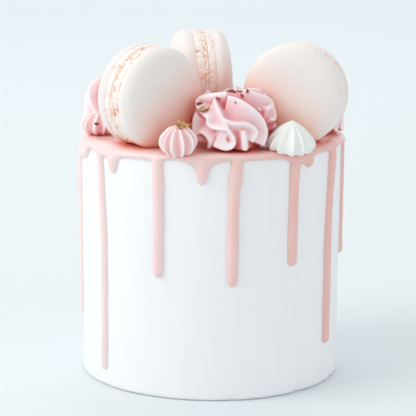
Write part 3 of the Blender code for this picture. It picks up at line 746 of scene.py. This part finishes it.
parts = {"Factor": foot, "A": skin_colour, "B": pit_colour}
baked = add(tree, "ShaderNodeMix", parts, data_type="RGBA").outputs["Result"]
# painted shade: near the glaze and its neighbours the shell turns warm peach, where little light
# reaches
painted_corner_shade = {"Factor": openness(tree, SHELL_CORNER), "A": linear("#FFAE90"), "B": baked}
colour = add(tree, "ShaderNodeMix", painted_corner_shade, data_type="RGBA").outputs["Result"]
grain = add(
    tree, "ShaderNodeTexNoise", {"Vector": place, "Scale": per_metre(GRAIN_SIZE), "Detail": 4.0}
).outputs["Fac"]
give_surface(tree, shader, colour, grain, 0.25, 0.1 * MM)
print(shell_look.name, len(tree.nodes), "nodes")

# %% Peach cream filling
CRUMB_SIZE = 1.5 * MM
# Pressed flush between the shells, the cream is satin, with peach crumbs in it
filling_look = blotched(
    "peach cream filling",
    {"Roughness": 0.45, **sinks_in(0.25, (1.0, 0.6, 0.4), 1.0 * MM)},
    CRUMB_SIZE,
    2.0,
    [(0.36, "#EBA97E"), (0.47, "#F6DCCB"), (0.58, "#FAEEE6")],
    0.0,
    0.1 * MM,
)
print(filling_look.name)

# %% Shell and filling shapes
MACARON_SINK = 1.2 * MM
MACARON_STEPS = 336
FILLING_HALF = 0.95 * MM
FILLING_SHARE = 0.984
BUBBLE = 1.25 * MM
BUBBLE_DEPTH = 0.55 * MM
BUBBLE_STRETCH = 0.6
PIT_CONTRAST = 1.7
PIT_START = 0.8
# Each: x and y of the centre, turn and backward lean in degrees, radius, half the thickness (mm),
# and how many times fuller its front and its back shell are
MACARONS = {
    "macaron_left": (-29.3, -37.0, 42.5, -2.5, 24.0, 14.6, 1.0, 1.02),
    "macaron_right": (39.8, -25.8, -11.7, 2.5, 24.1, 13.6, 1.0, 1.0),
    "macaron_back": (-5.8, 15.4, 98.7, 0.7, 24.7, 14.3, 1.0, 1.09),
}
# Half a shell's profile from its crown to its foot, as shares of the radius and half thickness
CROWN = (
    (0.0, 1.0), (0.42, 0.985), (0.7, 0.925), (0.9, 0.79), (0.99, 0.6), (0.998, 0.46), (0.985, 0.36),
)
FOOT = ((0.985, 0.36), (0.976, 0.33), (0.986, 0.27), (0.989, 0.19), (0.988, 0.12), (0.982, 0.0715))
FOOT_START = 0.36
print("macarons", list(MACARONS))

# %% Where a macaron stands


def macaron_stand(name):
    """The matrix that stands a macaron on edge in the glaze."""
    x, y, turn, lean, radius, *_ = MACARONS[name]
    upright = Euler((math.radians(90 - lean), 0, math.radians(turn))).to_matrix().to_4x4()
    return Matrix.Translation((x * MM, y * MM, GLAZE_TOP - MACARON_SINK + radius * MM)) @ upright


def macaron_room(name):
    """The room that a whole macaron takes, as a cutter."""
    _, _, _, _, radius, half, *_ = MACARONS[name]
    line = [(radius * MM * a + (GAP if a else 0), half * MM * b + GAP) for a, b in CROWN]
    line += [(across, -up) for across, up in reversed(line)]
    shape = spun(line, 96)
    bmesh.ops.transform(shape, matrix=macaron_stand(name), verts=shape.verts)
    room = to_object(f"{name}_room", shape)
    room.hide_render = True
    return room


macaron_rooms = [macaron_room(name) for name in MACARONS]
print("rooms", [room.name for room in macaron_rooms])

# %% A shell's bubbly foot


def bubbled(vert, radius, seed):
    """Pushes a foot's point in or out as bubbles do. Returns how deep its pit is, from 0 to 1."""
    angle = math.atan2(vert.co.y, vert.co.x)
    rise = vert.co.z * BUBBLE_STRETCH
    unrolled = Vector((angle * radius, rise, seed))
    near = noise.voronoi(Vector((vert.co.x, vert.co.y, rise + seed)) / BUBBLE)[0]
    ruffle = noise.noise(unrolled / (2.2 * BUBBLE))
    patch = noise.noise(unrolled / (6.0 * BUBBLE))
    pit_share = near[0] * PIT_CONTRAST - PIT_START - 0.5 * ruffle + 0.7 * patch
    pit_share = min(max(pit_share, 0.0), 1.0)
    out = Vector((vert.co.x, vert.co.y, 0)).normalized()
    vert.co += out * (0.3 * ruffle - pit_share) * BUBBLE_DEPTH
    return pit_share


print("bubbles are about", round(BUBBLE / MM, 2), "mm across")

# %% Shells and fillings


def shell(name, side_name, side):
    """One shell: its crown and its bubbly foot, on the side of the filling that side gives."""
    _, _, _, _, radius, half, *fuller = MACARONS[name]
    radius *= MM
    half *= MM
    fuller = fuller[side < 0] - 1
    inner = FILLING_HALF + 0.03 * MM
    line = [(radius * a, half * b * (1 + fuller * b)) for a, b in smooth_line(CROWN, 8)]
    line += [(radius * a, half * b) for a, b in smooth_line(FOOT, 5)[1:]]
    line += [(0.88 * radius, inner), (0.5 * radius, inner), (0, inner)]
    shape = spun(line, MACARON_STEPS)
    layer_pit = shape.verts.layers.float.new("pit")
    layer_foot = shape.verts.layers.float.new("foot")
    seed = 10 * side + len(name)
    for vert in shape.verts:
        across = vert.co.xy.length
        band = min(max((FOOT_START * half - vert.co.z) / (0.05 * half), 0.0), 1.0)
        if band > 0 and across > 0.8 * radius:
            vert[layer_foot] = band
            vert[layer_pit] = bubbled(vert, radius, seed) * band
        elif across > 0.05 * radius:
            swell = noise.noise(vert.co * 60 + Vector((0, 0, seed)))
            vert.co.z += 0.15 * MM * swell
    if side < 0:
        bmesh.ops.scale(shape, vec=(1, 1, -1), verts=shape.verts)
        bmesh.ops.reverse_faces(shape, faces=shape.faces)
    bmesh.ops.transform(shape, matrix=macaron_stand(name), verts=shape.verts)
    return to_object(f"{name}_{side_name}_baked", shape)


def filling(name):
    """The thin disc of cream between the shells, its edge bulging unevenly."""
    _, _, _, _, radius, *_ = MACARONS[name]
    edge = FILLING_SHARE * radius * MM
    half = FILLING_HALF
    line = [(0, half), (0.6 * edge, half), (edge - 0.2 * MM, half)]
    line += [(edge, 0.6 * half), (edge, -0.6 * half), (edge - 0.2 * MM, -half)]
    line += [(0.6 * edge, -half), (0, -half)]
    shape = spun(line, 180)
    for vert in shape.verts:
        if vert.co.xy.length > 0.8 * edge:
            out = Vector((vert.co.x, vert.co.y, 0)).normalized()
            vert.co += out * noise.noise(vert.co * 400 + Vector((0, 0, radius))) * 0.4 * MM
    bmesh.ops.transform(shape, matrix=macaron_stand(name), verts=shape.verts)
    return to_object(f"{name}_cream", shape)


for name in MACARONS:
    keep(shell(name, "front_shell", 1), shell_look, "macaron_shell", f"{name}_front_shell")
    keep(shell(name, "back_shell", -1), shell_look, "macaron_shell", f"{name}_back_shell")
    keep(filling(name), filling_look, "macaron_filling", f"{name}_filling")

# %% [markdown]
# ## Kisses
#
# A kiss is one press of a star nozzle, straight down: it swells, then is pulled off into a
# point. The nozzle's teeth leave ridges from foot to tip. Each one is a spun profile whose
# section is drawn in between ridges, so the crests stay sharp and the valleys round.

# %% Meringue and pink cream
AIR_SIZE = 1.0 * MM
CREAM_CORNER = 9.0 * MM
# Beaten egg white and sugar, dried in the oven, is chalky: matt, and white all through
meringue_look = blotched(
    "white meringue, dried",
    {"Roughness": 0.6, **sinks_in(0.3, (1.0, 0.9, 0.8), 1.5 * MM)},
    AIR_SIZE,
    3.0,
    [(0.3, "#EDF1EC"), (0.7, "#F5F8F4")],
    0.2,
    0.1 * MM,
)


def piped_cream(name, stops, deep, roughness):
    """Pink piped cream. Its colour follows how deep in a fold a point lies: painted shade makes
    the folds redder, and a painted highlight makes the thin crests palest."""
    values = {"Roughness": roughness, "IOR": 1.46, **sinks_in(0.3, (1.0, 0.4, 0.4), 1.5 * MM)}
    material, tree, shader, place = start_material(name, values)
    fold = add(tree, "ShaderNodeAttribute", attribute_name="fold").outputs["Fac"]
    pink = add(tree, "ShaderNodeValToRGB", {"Fac": fold}, stops).outputs["Color"]
    # painted shade: corners turn a deeper red where little light reaches
    painted_corner_shade = {"Factor": openness(tree, CREAM_CORNER, 0.68), "A": linear(deep), "B": pink}
    colour = add(tree, "ShaderNodeMix", painted_corner_shade, data_type="RGBA").outputs["Result"]
    air = add(
        tree, "ShaderNodeTexNoise", {"Vector": place, "Scale": per_metre(AIR_SIZE), "Detail": 3.0}
    ).outputs["Fac"]
    give_surface(tree, shader, colour, air, 0.2, 0.1 * MM)
    return material


# painted highlight on the crests, white, and painted shade in the valleys
star_look = piped_cream(
    "pink cream, piped through a star",
    [(0.0, "#FFFFFF"), (0.3, "#FFF4F3"), (0.5, "#F8D6D5"), (1.0, "#F1BDBC")],
    "#F5928B",
    0.5,
)
# painted highlight on the crests, and painted shade, red, deep in the folds
rosette_look = piped_cream(
    "pink buttercream, piped in ribbons",
    [(0.0, "#FFF3F4"), (0.28, "#FADFE2"), (0.6, "#F2C2C6"), (1.0, "#DB8A88")],
    "#E9584C",
    0.45,
)
print([look.name for look in (meringue_look, star_look, rosette_look)])

# %% Sizes of the kisses
KISS_REST = 64.0 * MM
KISS_CLEAR = 0.3 * MM
RIDGE_POINTS = 14  # points from one ridge to the next
VALLEY_POWER = 0.9  # below 1, crests are sharper than valleys
# Each: centre, tilt and the direction it tips towards, ridge count, how deep the valleys are,
# twist, height, and the profile as heights and radii (degrees and mm)
KISSES = {
    "star_kiss_front": (
        (-15.3, -60.15), (12.0, -10.0), 10, 0.26, 0.0, 13.0,
        ((0.0, 6.2), (2.0, 8.0), (5.0, 9.1), (8.2, 8.5), (11.0, 6.2), (12.6, 3.1)),
    ),
    "meringue_kiss": (
        (36.6, -48.4), (12.0, 15.0), 12, 0.21, 8.0, 14.3,
        ((0.0, 10.0), (1.2, 11.5), (3.3, 11.9), (6.0, 10.5), (8.8, 8.0), (11.4, 4.9), (13.0, 2.2)),
    ),
    "star_kiss_left": (
        (-54.2, -9.5), (2.0, -80.0), 10, 0.26, 6.0, 10.6,
        ((0.0, 6.4), (1.6, 8.5), (4.2, 9.4), (6.8, 8.5), (9.0, 6.0), (10.2, 3.0)),
    ),
}
print("kisses", list(KISSES))

# %% Kiss shapes


def kiss(name, kiss_name, grow=0.0):
    """A kiss on the glaze, larger all round by grow."""
    (x, y), (tilt, towards), ridges, depth, twist, tip, rows = KISSES[kiss_name]
    line = [(0, tip)] + [(radius, height) for height, radius in reversed(rows)]
    line = smooth_line(line, 8)
    line = [(a * MM + (grow if a else 0), b * MM + (grow if b else 0)) for a, b in line]
    line += [(0.5 * line[-1][0], 0), (0, 0)]
    shape = spun(line, ridges * RIDGE_POINTS)
    fold = shape.verts.layers.float.new("fold")
    base = Vector((x * MM, y * MM, 0))
    base.z = glaze_height(base) + KISS_CLEAR
    lean = Matrix.Rotation(math.radians(tilt), 3, around(1, towards + 90))
    for vert in shape.verts:
        angle = math.atan2(vert.co.y, vert.co.x)
        rise = vert.co.z
        uneven = angle + 0.05 * math.sin(3 * angle + tip) + 0.04 * math.sin(5 * angle)
        valley = abs(math.sin(ridges * uneven / 2)) ** VALLEY_POWER
        # how deep a point lies between ridges; the pink cream turns this into painted shade in the
        # valleys and a painted highlight on the crests
        vert[fold] = valley
        vert.co.xy *= 1 - depth * valley
        swing = Matrix.Rotation(math.radians(twist * rise / (tip * MM)), 3, "Z")
        vert.co = lean @ swing @ vert.co + base
        floor_height = glaze_height(vert.co) + KISS_CLEAR - 2 * grow
        if rise < 0.01 * MM and vert.co.xy.length < KISS_REST:
            vert.co.z = floor_height
        vert.co.z = max(vert.co.z, floor_height)
    return to_object(name, shape)


kiss_rooms = []
for name in KISSES:
    piece = cut_away(kiss(f"{name}_piped", name), macaron_rooms)
    white = name == "meringue_kiss"
    keep(piece, meringue_look if white else star_look, "meringue" if white else "star_kiss", name)
    room = kiss(f"{name}_room", name, GAP)
    room.hide_render = True
    kiss_rooms.append(room)

# %% [markdown]
# ## Rosettes
#
# A rosette is piped in a slow circle, so its ridges become ribbons that fold over each other and
# end in curls. Each ribbon here is a blade with a thin round crest: it runs over a dome along a
# line, and its root widens towards the rosette's heart. All the blades and a turned body
# are melted into one skin, which closes the joins as soft cream does.

# %% Sizes of the rosettes
# Each: centre, radius and height in mm, and how full the dome's shoulders are
ROSETTES = {
    "rosette_front": (10.4, -41.0, 20.2, 28.0, 5.0),
    "rosette_left": (-45.0, 13.0, 19.0, 27.0, 3.0),
    "rosette_back": (-0.8, 49.0, 13.0, 27.0, 3.0),
    "rosette_right": (49.5, 5.0, 15.5, 21.0, 3.0),
}
SHOULDER_POWER = 0.35
VALLEY_SHARE = 0.60
BODY_HEIGHT = 0.93
RIDGE_DEPTH = 9.0 * MM
RIDGE_HEART = 0.4
TOP_THICKNESS = 0.6
END_THICKNESS = 0.6
LINE_STEPS = 5
CREST_SECTION = ((0.15, 0.5), (0.6, 0.9), (1.3, 1.15))
ROOT_SECTION = ((0.22, 0.10), (0.45, 0.26), (0.72, 0.46), (1.0, 0.66))
print("rosettes", list(ROSETTES))

# %% The dome and the blades


def dome(rosette, angle, share):
    """A point on a rosette's outside, at an angle and at a share of its height."""
    _, _, radius, height, fullness = ROSETTES[rosette]
    share = min(max(share, 0.0), 0.998)
    return around(
        radius * MM * (1 - share**fullness) ** SHOULDER_POWER, angle, height * MM * share
    )


def blade_sections(rosette, places, thickness, lean=0.0):
    """Sections of a blade along its crest, from places of (angle, share of the height). Its root
    leans by some degrees to the right of the way it runs."""
    height = ROSETTES[rosette][3] * MM
    heart = Vector((0, 0, RIDGE_HEART * height))
    path = [dome(rosette, angle, max(share, 0.03)) for angle, share in places]
    sections = []
    for i, crest in enumerate(path):
        along = (path[min(i + 1, len(path) - 1)] - path[max(i - 1, 0)]).normalized()
        out = crest - heart
        out = (out - out.dot(along) * along).normalized()
        out = Matrix.Rotation(math.radians(lean), 3, along) @ out
        side = along.cross(out)
        grown = min(1.0, TOP_THICKNESS + (1 - TOP_THICKNESS) * 2 * i / len(path))
        if i in (0, len(path) - 1):
            grown *= END_THICKNESS
        half = 0.5 * thickness * MM * grown
        deep = min(RIDGE_DEPTH, 0.8 * (crest - heart).length)
        flank = [(half * down, half * aside) for down, aside in CREST_SECTION]
        flank += [(half + deep * down, half + deep * aside) for down, aside in ROOT_SECTION]
        section = [crest] + [crest - out * down + side * aside for down, aside in flank]
        section += [crest - out * down - side * aside for down, aside in reversed(flank)]
        sections.append(section)
    return sections


def add_blade(shape, sections):
    """A closed blade: the first section is a face, and each next one is extruded from it."""
    end = shape.faces.new([shape.verts.new(point) for point in sections[0]])
    for section in sections[1:]:
        made = bmesh.ops.extrude_face_region(shape, geom=[end])["geom"]
        end = next(part for part in made if isinstance(part, bmesh.types.BMFace))
        for vert, point in zip(end.verts, section):
            vert.co = point


crest = dome("rosette_front", 0, 0.5)
print("half way up, the front rosette is", round(2 * crest.xy.length / MM), "mm across")

# %% [markdown]
# The front rosette is seen best, so each of its ribbons is laid one by one: a smooth line
# through a few places, given as degrees round the rosette and shares of its height. The others
# are piped by a rule: nine strokes that slant down the dome and end in curls, each a little
# different.

# %% The front rosette's ribbons
BACK_WIDE = 1.8
BACK_LEAN = -12
BACK_LINE = ((0, 0.9), (22, 0.72), (40, 0.48), (50, 0.28), (42, 0.12), (28, 0.12))
# Each: its crest's thickness in mm, how far its root leans in degrees, and its places
FRONT_RIBBONS = (
    (1.5, -18, ((-37, 0.87), (-28, 0.77), (-17, 0.58), (-8, 0.38), (0, 0.22), (-1, 0.09),
                (-12, 0.03), (-30, 0.09))),
    (1.3, 10, ((-90, 0.78), (-72, 0.70), (-55, 0.62), (-42, 0.55), (-41, 0.46), (-33, 0.39),
               (-8, 0.37))),
    (1.6, -14, ((-14, 0.55), (-4, 0.5), (6, 0.49), (17, 0.48), (27, 0.42), (33, 0.3), (25, 0.16))),
    (1.5, -16, ((-14, 0.92), (6, 0.88), (21, 0.79), (33, 0.67), (43, 0.53), (51, 0.3), (44, 0.08))),
    (3.2, 0, ((12, 0.37), (14, 0.20), (15, 0.03))),
    (7.0, 0, ((-66, 0.57), (-73, 0.48), (-77, 0.36), (-78, 0.22), (-76, 0.06))),
    (1.4, 0, ((-63, 0.22), (-54, 0.28), (-45, 0.26), (-38, 0.19), (-35, 0.10), (-38, 0.04))),
    (3.4, 0, ((-98, 0.76), (-76, 0.85), (-48, 0.92), (-18, 0.955))),
    (1.6, -10, ((34, 0.99), (52, 0.95), (70, 0.88), (84, 0.80), (86, 0.73), (72, 0.68))),
    (4.0, 0, ((60, 0.99), (100, 0.95), (130, 0.80))),
    (1.6, -6, ((58, 0.70), (74, 0.70), (86, 0.63), (87, 0.53), (76, 0.47), (64, 0.49))),
    (6.0, 0, ((76, 0.38), (85, 0.28), (87, 0.16), (84, 0.04))),
    (BACK_WIDE, BACK_LEAN, tuple((angle + 100, high) for angle, high in BACK_LINE)),
    (BACK_WIDE, BACK_LEAN, tuple((angle + 145, high) for angle, high in BACK_LINE)),
    (BACK_WIDE, BACK_LEAN, tuple((angle + 190, high) for angle, high in BACK_LINE)),
    (1.8, -12, ((-125, 0.90), (-112, 0.68), (-102, 0.46), (-98, 0.26), (-106, 0.12), (-118, 0.12))),
)
print(len(FRONT_RIBBONS), "ribbons on the front rosette")

# %% Ribbons by rule
CURL_STEP = 20.0  # degrees
SPARE_RIDGES = 9
SPARE_LEAN = -12.0  # degrees
# Broad lobes that two of the other rosettes show between the macarons
SPARE_LOBES = {
    "rosette_left": (10.0, 0, ((-112, 0.9), (-96, 0.82), (-82, 0.62), (-74, 0.36), (-72, 0.12))),
    "rosette_back": (8.0, 0, ((60, 0.88), (78, 0.78), (90, 0.62), (96, 0.42), (98, 0.2))),
}


def spare_ribbons(rosette):
    """Strokes with curls for a rosette that is piped by rule."""
    rough = random.Random(rosette)
    _, _, radius, height, _ = ROSETTES[rosette]
    across = math.degrees(1 / radius)
    turn = math.radians(CURL_STEP)
    ribbons = []
    for i in range(SPARE_RIDGES):
        top = 360 * i / SPARE_RIDGES + rough.uniform(-8, 8)
        high = rough.uniform(0.8, 0.92)
        swing = rough.uniform(42, 58)
        low = rough.uniform(0.28, 0.42)
        bow = rough.uniform(-6, 2)
        curl = rough.uniform(3.4, 4.4)
        sweep = rough.uniform(120, 190)
        places = []
        for step in range(8):
            share = step / 7
            angle = top + swing * share + bow * math.sin(math.pi * share)
            places.append((angle, high + (low - high) * share**1.2))
        (a1, h1), (a2, h2) = places[-2:]
        heading = math.atan2((h2 - h1) * height, (a2 - a1) / across)
        angle, share = a2, h2
        run = 2 * curl * math.sin(turn / 2)
        for _ in range(round(sweep / CURL_STEP)):
            heading -= turn / 2
            angle += run * math.cos(heading) * across
            share += run * math.sin(heading) / height
            heading -= turn / 2
            places.append((angle, share))
        ribbons.append((rough.uniform(1.6, 2.4), SPARE_LEAN, places))
    if rosette in SPARE_LOBES:
        thickness, lean, places = SPARE_LOBES[rosette]
        ribbons.append((thickness, lean, smooth_line(places, LINE_STEPS)))
    return ribbons


print(len(spare_ribbons("rosette_left")), "ribbons on the left rosette")

# %% Melt and cut the rosettes
FRONT_CELL = 0.36 * MM
SPARE_CELL = 0.55 * MM
CREAM_SMOOTHINGS = 3
FOLD_FULL = 0.3  # the share of the way in at which a fold is as deep as any


def rosette(name, ribbons, cell):
    """A rosette in its place, with an attribute that says how deep in a fold a point lies."""
    x, y, radius, height, fullness = ROSETTES[name]
    inside = VALLEY_SHARE * radius * MM
    top = BODY_HEIGHT * height * MM
    line = [(0, top)]
    for share in (0.97, 0.9, 0.8, 0.65, 0.4, 0.1):
        line.append((inside * (1 - share**fullness) ** SHOULDER_POWER, top * share))
    line += [(inside, 0), (0, 0)]
    shape = spun(line, 48)
    for thickness, lean, places in ribbons:
        add_blade(shape, blade_sections(name, places, thickness, lean))
    for vert in shape.verts:
        vert.co.z = max(vert.co.z, 0)
    shape.normal_update()
    bmesh.ops.recalc_face_normals(shape, faces=shape.faces)
    piece = melted(to_object(f"{name}_piped", shape), cell, CREAM_SMOOTHINGS)
    heart = Vector((0, 0, RIDGE_HEART * height * MM))
    # how deep in a fold each point lies; the cream's look turns this into painted shade
    depths = []
    for vert in piece.data.vertices:
        angle = math.degrees(math.atan2(vert.co.x, -vert.co.y))
        share = min(max(vert.co.z / (height * MM), 0.0), 0.98)
        edge = (dome(name, angle, share) - heart).length
        inward = 1 - (vert.co - heart).length / edge
        depths.append(min(max(inward / FOLD_FULL, 0.0), 1.0))
    attribute = piece.data.attributes.new("fold", "FLOAT", "POINT")
    attribute.data.foreach_set("value", depths)
    piece.data.transform(Matrix.Translation((x * MM, y * MM, GLAZE_TOP + GAP)))
    return piece


hosts = {}
for name in ROSETTES:
    ribbons, cell = spare_ribbons(name), SPARE_CELL
    if name == "rosette_front":
        cell = FRONT_CELL
        ribbons = [(*cut, smooth_line(line, LINE_STEPS)) for *cut, line in FRONT_RIBBONS]
    piece = rosette(name, ribbons, cell)
    cut_away(piece, macaron_rooms + kiss_rooms)
    hosts[name] = keep(piece, rosette_look, "pink_buttercream", name)
for room in macaron_rooms + kiss_rooms:
    bpy.data.objects.remove(room)

# %% [markdown]
# ## Dried petals
#
# Last come dried rose petals, broken into flakes: burgundy, greenish brown and straw. They are
# paper thin, wrinkled and curled up at their ends. A flake is a small grid, bent and
# creased, given its thickness, and laid on the cream where the picture shows it.

# %% Dried petal looks
PETAL_BLOTCH = 1.6 * MM
PETAL_STOPS = (0.35, 0.65)
# A petal dried in air is dull, and its veins and bruises dry darker than the rest
PETAL_LOOKS = {}
for name, dark, light in (
    ("burgundy", "#6E2740", "#A9566E"),
    ("greenish brown", "#8A6A40", "#DDB98E"),
    ("golden straw", "#B06F2C", "#E6B878"),
    ("faded pink", "#EFC4C6", "#FBF3EE"),
):
    look = (f"dried petal, {name}", {"Roughness": 0.7}, PETAL_BLOTCH, 4.0)
    PETAL_LOOKS[name] = blotched(*look, list(zip(PETAL_STOPS, (dark, light))), 0.5, 0.2 * MM)
print("petal looks", list(PETAL_LOOKS))

# %% Where the flakes lie
# Each: what it lies on, the pixel where the picture shows its middle, its look, its length,
# width and upward curl in mm, and its turn in degrees
FLAKES = (
    ("star_kiss_front", (183.5, 126.0), "golden straw", 7.2, 3.0, 1.9, -2.0),
    ("star_kiss_front", (180.0, 128.0), "greenish brown", 4.0, 2.2, 1.2, 60.0),
    ("star_kiss_left", (96.0, 124.0), "burgundy", 2.4, 1.4, 0.4, 80.0),
    ("rosette_front", (204.5, 109.0), "greenish brown", 9.0, 4.2, 0.7, -24.0),
    ("rosette_front", (198.0, 104.5), "burgundy", 2.4, 1.6, 0.4, 20.0),
    ("rosette_front", (200.5, 103.5), "burgundy", 1.6, 1.0, 0.3, 70.0),
    ("rosette_front", (230.5, 91.5), "burgundy", 3.4, 1.6, 0.5, -20.0),
    ("rosette_front", (234.0, 92.5), "burgundy", 2.0, 1.2, 0.4, 40.0),
    ("rosette_front", (241.0, 91.5), "faded pink", 5.4, 3.6, 1.2, -30.0),
    ("rosette_front", (242.0, 96.0), "burgundy", 2.0, 1.2, 0.3, 30.0),
    ("rosette_front", (247.5, 91.5), "burgundy", 1.6, 1.2, 0.4, 0.0),
    ("rosette_front", (218.5, 98.5), "burgundy", 1.8, 1.2, 0.4, 60.0),
    ("rosette_front", (235.5, 102.5), "burgundy", 0.9, 0.7, 0.1, 10.0),
    ("rosette_front", (259.0, 109.0), "faded pink", 2.2, 1.4, 0.4, 10.0),
)
FLAKE_THICKNESS = 0.25 * MM
FLAKE_CLEAR = 0.3 * MM
print(len(FLAKES), "flakes")

# %% Flakes


def flake(name, host, pixel, length, width, curl, turn):
    """A petal flake, laid where the camera's line through a pixel meets its host."""
    rough = random.Random(name)
    shape = bmesh.new()
    bmesh.ops.create_grid(shape, x_segments=14, y_segments=8, size=0.5)
    offset = Vector((rough.random(), rough.random(), rough.random())) * 10
    for vert in shape.verts:
        along = 2 * vert.co.x
        aside = 2 * vert.co.y
        pointed = max(1 - along * along, 0.0) ** 0.6
        vert.co.x = 0.5 * along * length * MM
        vert.co.y = 0.5 * aside * pointed * width * MM
        wrinkle = noise.noise(Vector((along * 2.2, aside * 1.4, 0)) + offset)
        vert.co.z = curl * MM * (0.8 * along * along + 0.5 * aside * aside + 0.5 * wrinkle)
    bmesh.ops.remove_doubles(shape, verts=shape.verts, dist=0.02 * MM)
    petal = to_object(name, shape)
    solidify = petal.modifiers.new("Thickness", "SOLIDIFY")
    solidify.thickness = FLAKE_THICKNESS
    applied(petal)
    eye, towards = sight(pixel)
    hit, place, normal, _ = host.ray_cast(eye, towards)
    if not hit:
        _, place, normal, _ = host.closest_point_on_mesh(eye + towards * CAMERA_BACK)
    where = [round(c / MM, 1) for c in place]
    print(name, "lies on" if hit else "lies beside the sight line on", host.name, where)
    upright = (normal + Vector((0, 0, 1))).normalized().to_track_quat("Z", "X")
    petal.data.transform(
        Matrix.Translation(place + normal * FLAKE_CLEAR)
        @ upright.to_matrix().to_4x4()
        @ Matrix.Rotation(math.radians(turn), 4, "Z")
    )
    return petal


for name in KISSES:
    hosts[name] = bpy.data.objects[f"{name}_piped"]
for number, (host, pixel, look, *sizes) in enumerate(FLAKES):
    petal = flake(f"petal_flake_{number}", hosts[host], pixel, *sizes)
    keep(petal, PETAL_LOOKS[look], "pink_buttercream")

# %% [markdown]
# ## The last lines
#
# The box of the dressed cake is printed beside the box of the imported model, to see that the
# looks stay within it.

# %% Sizes
sizes = {"packed": packed_box, "dressed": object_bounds()}
for name, (low, high) in sizes.items():
    print(name, [round((b - a) / MM, 1) for a, b in zip(low, high)], "mm")
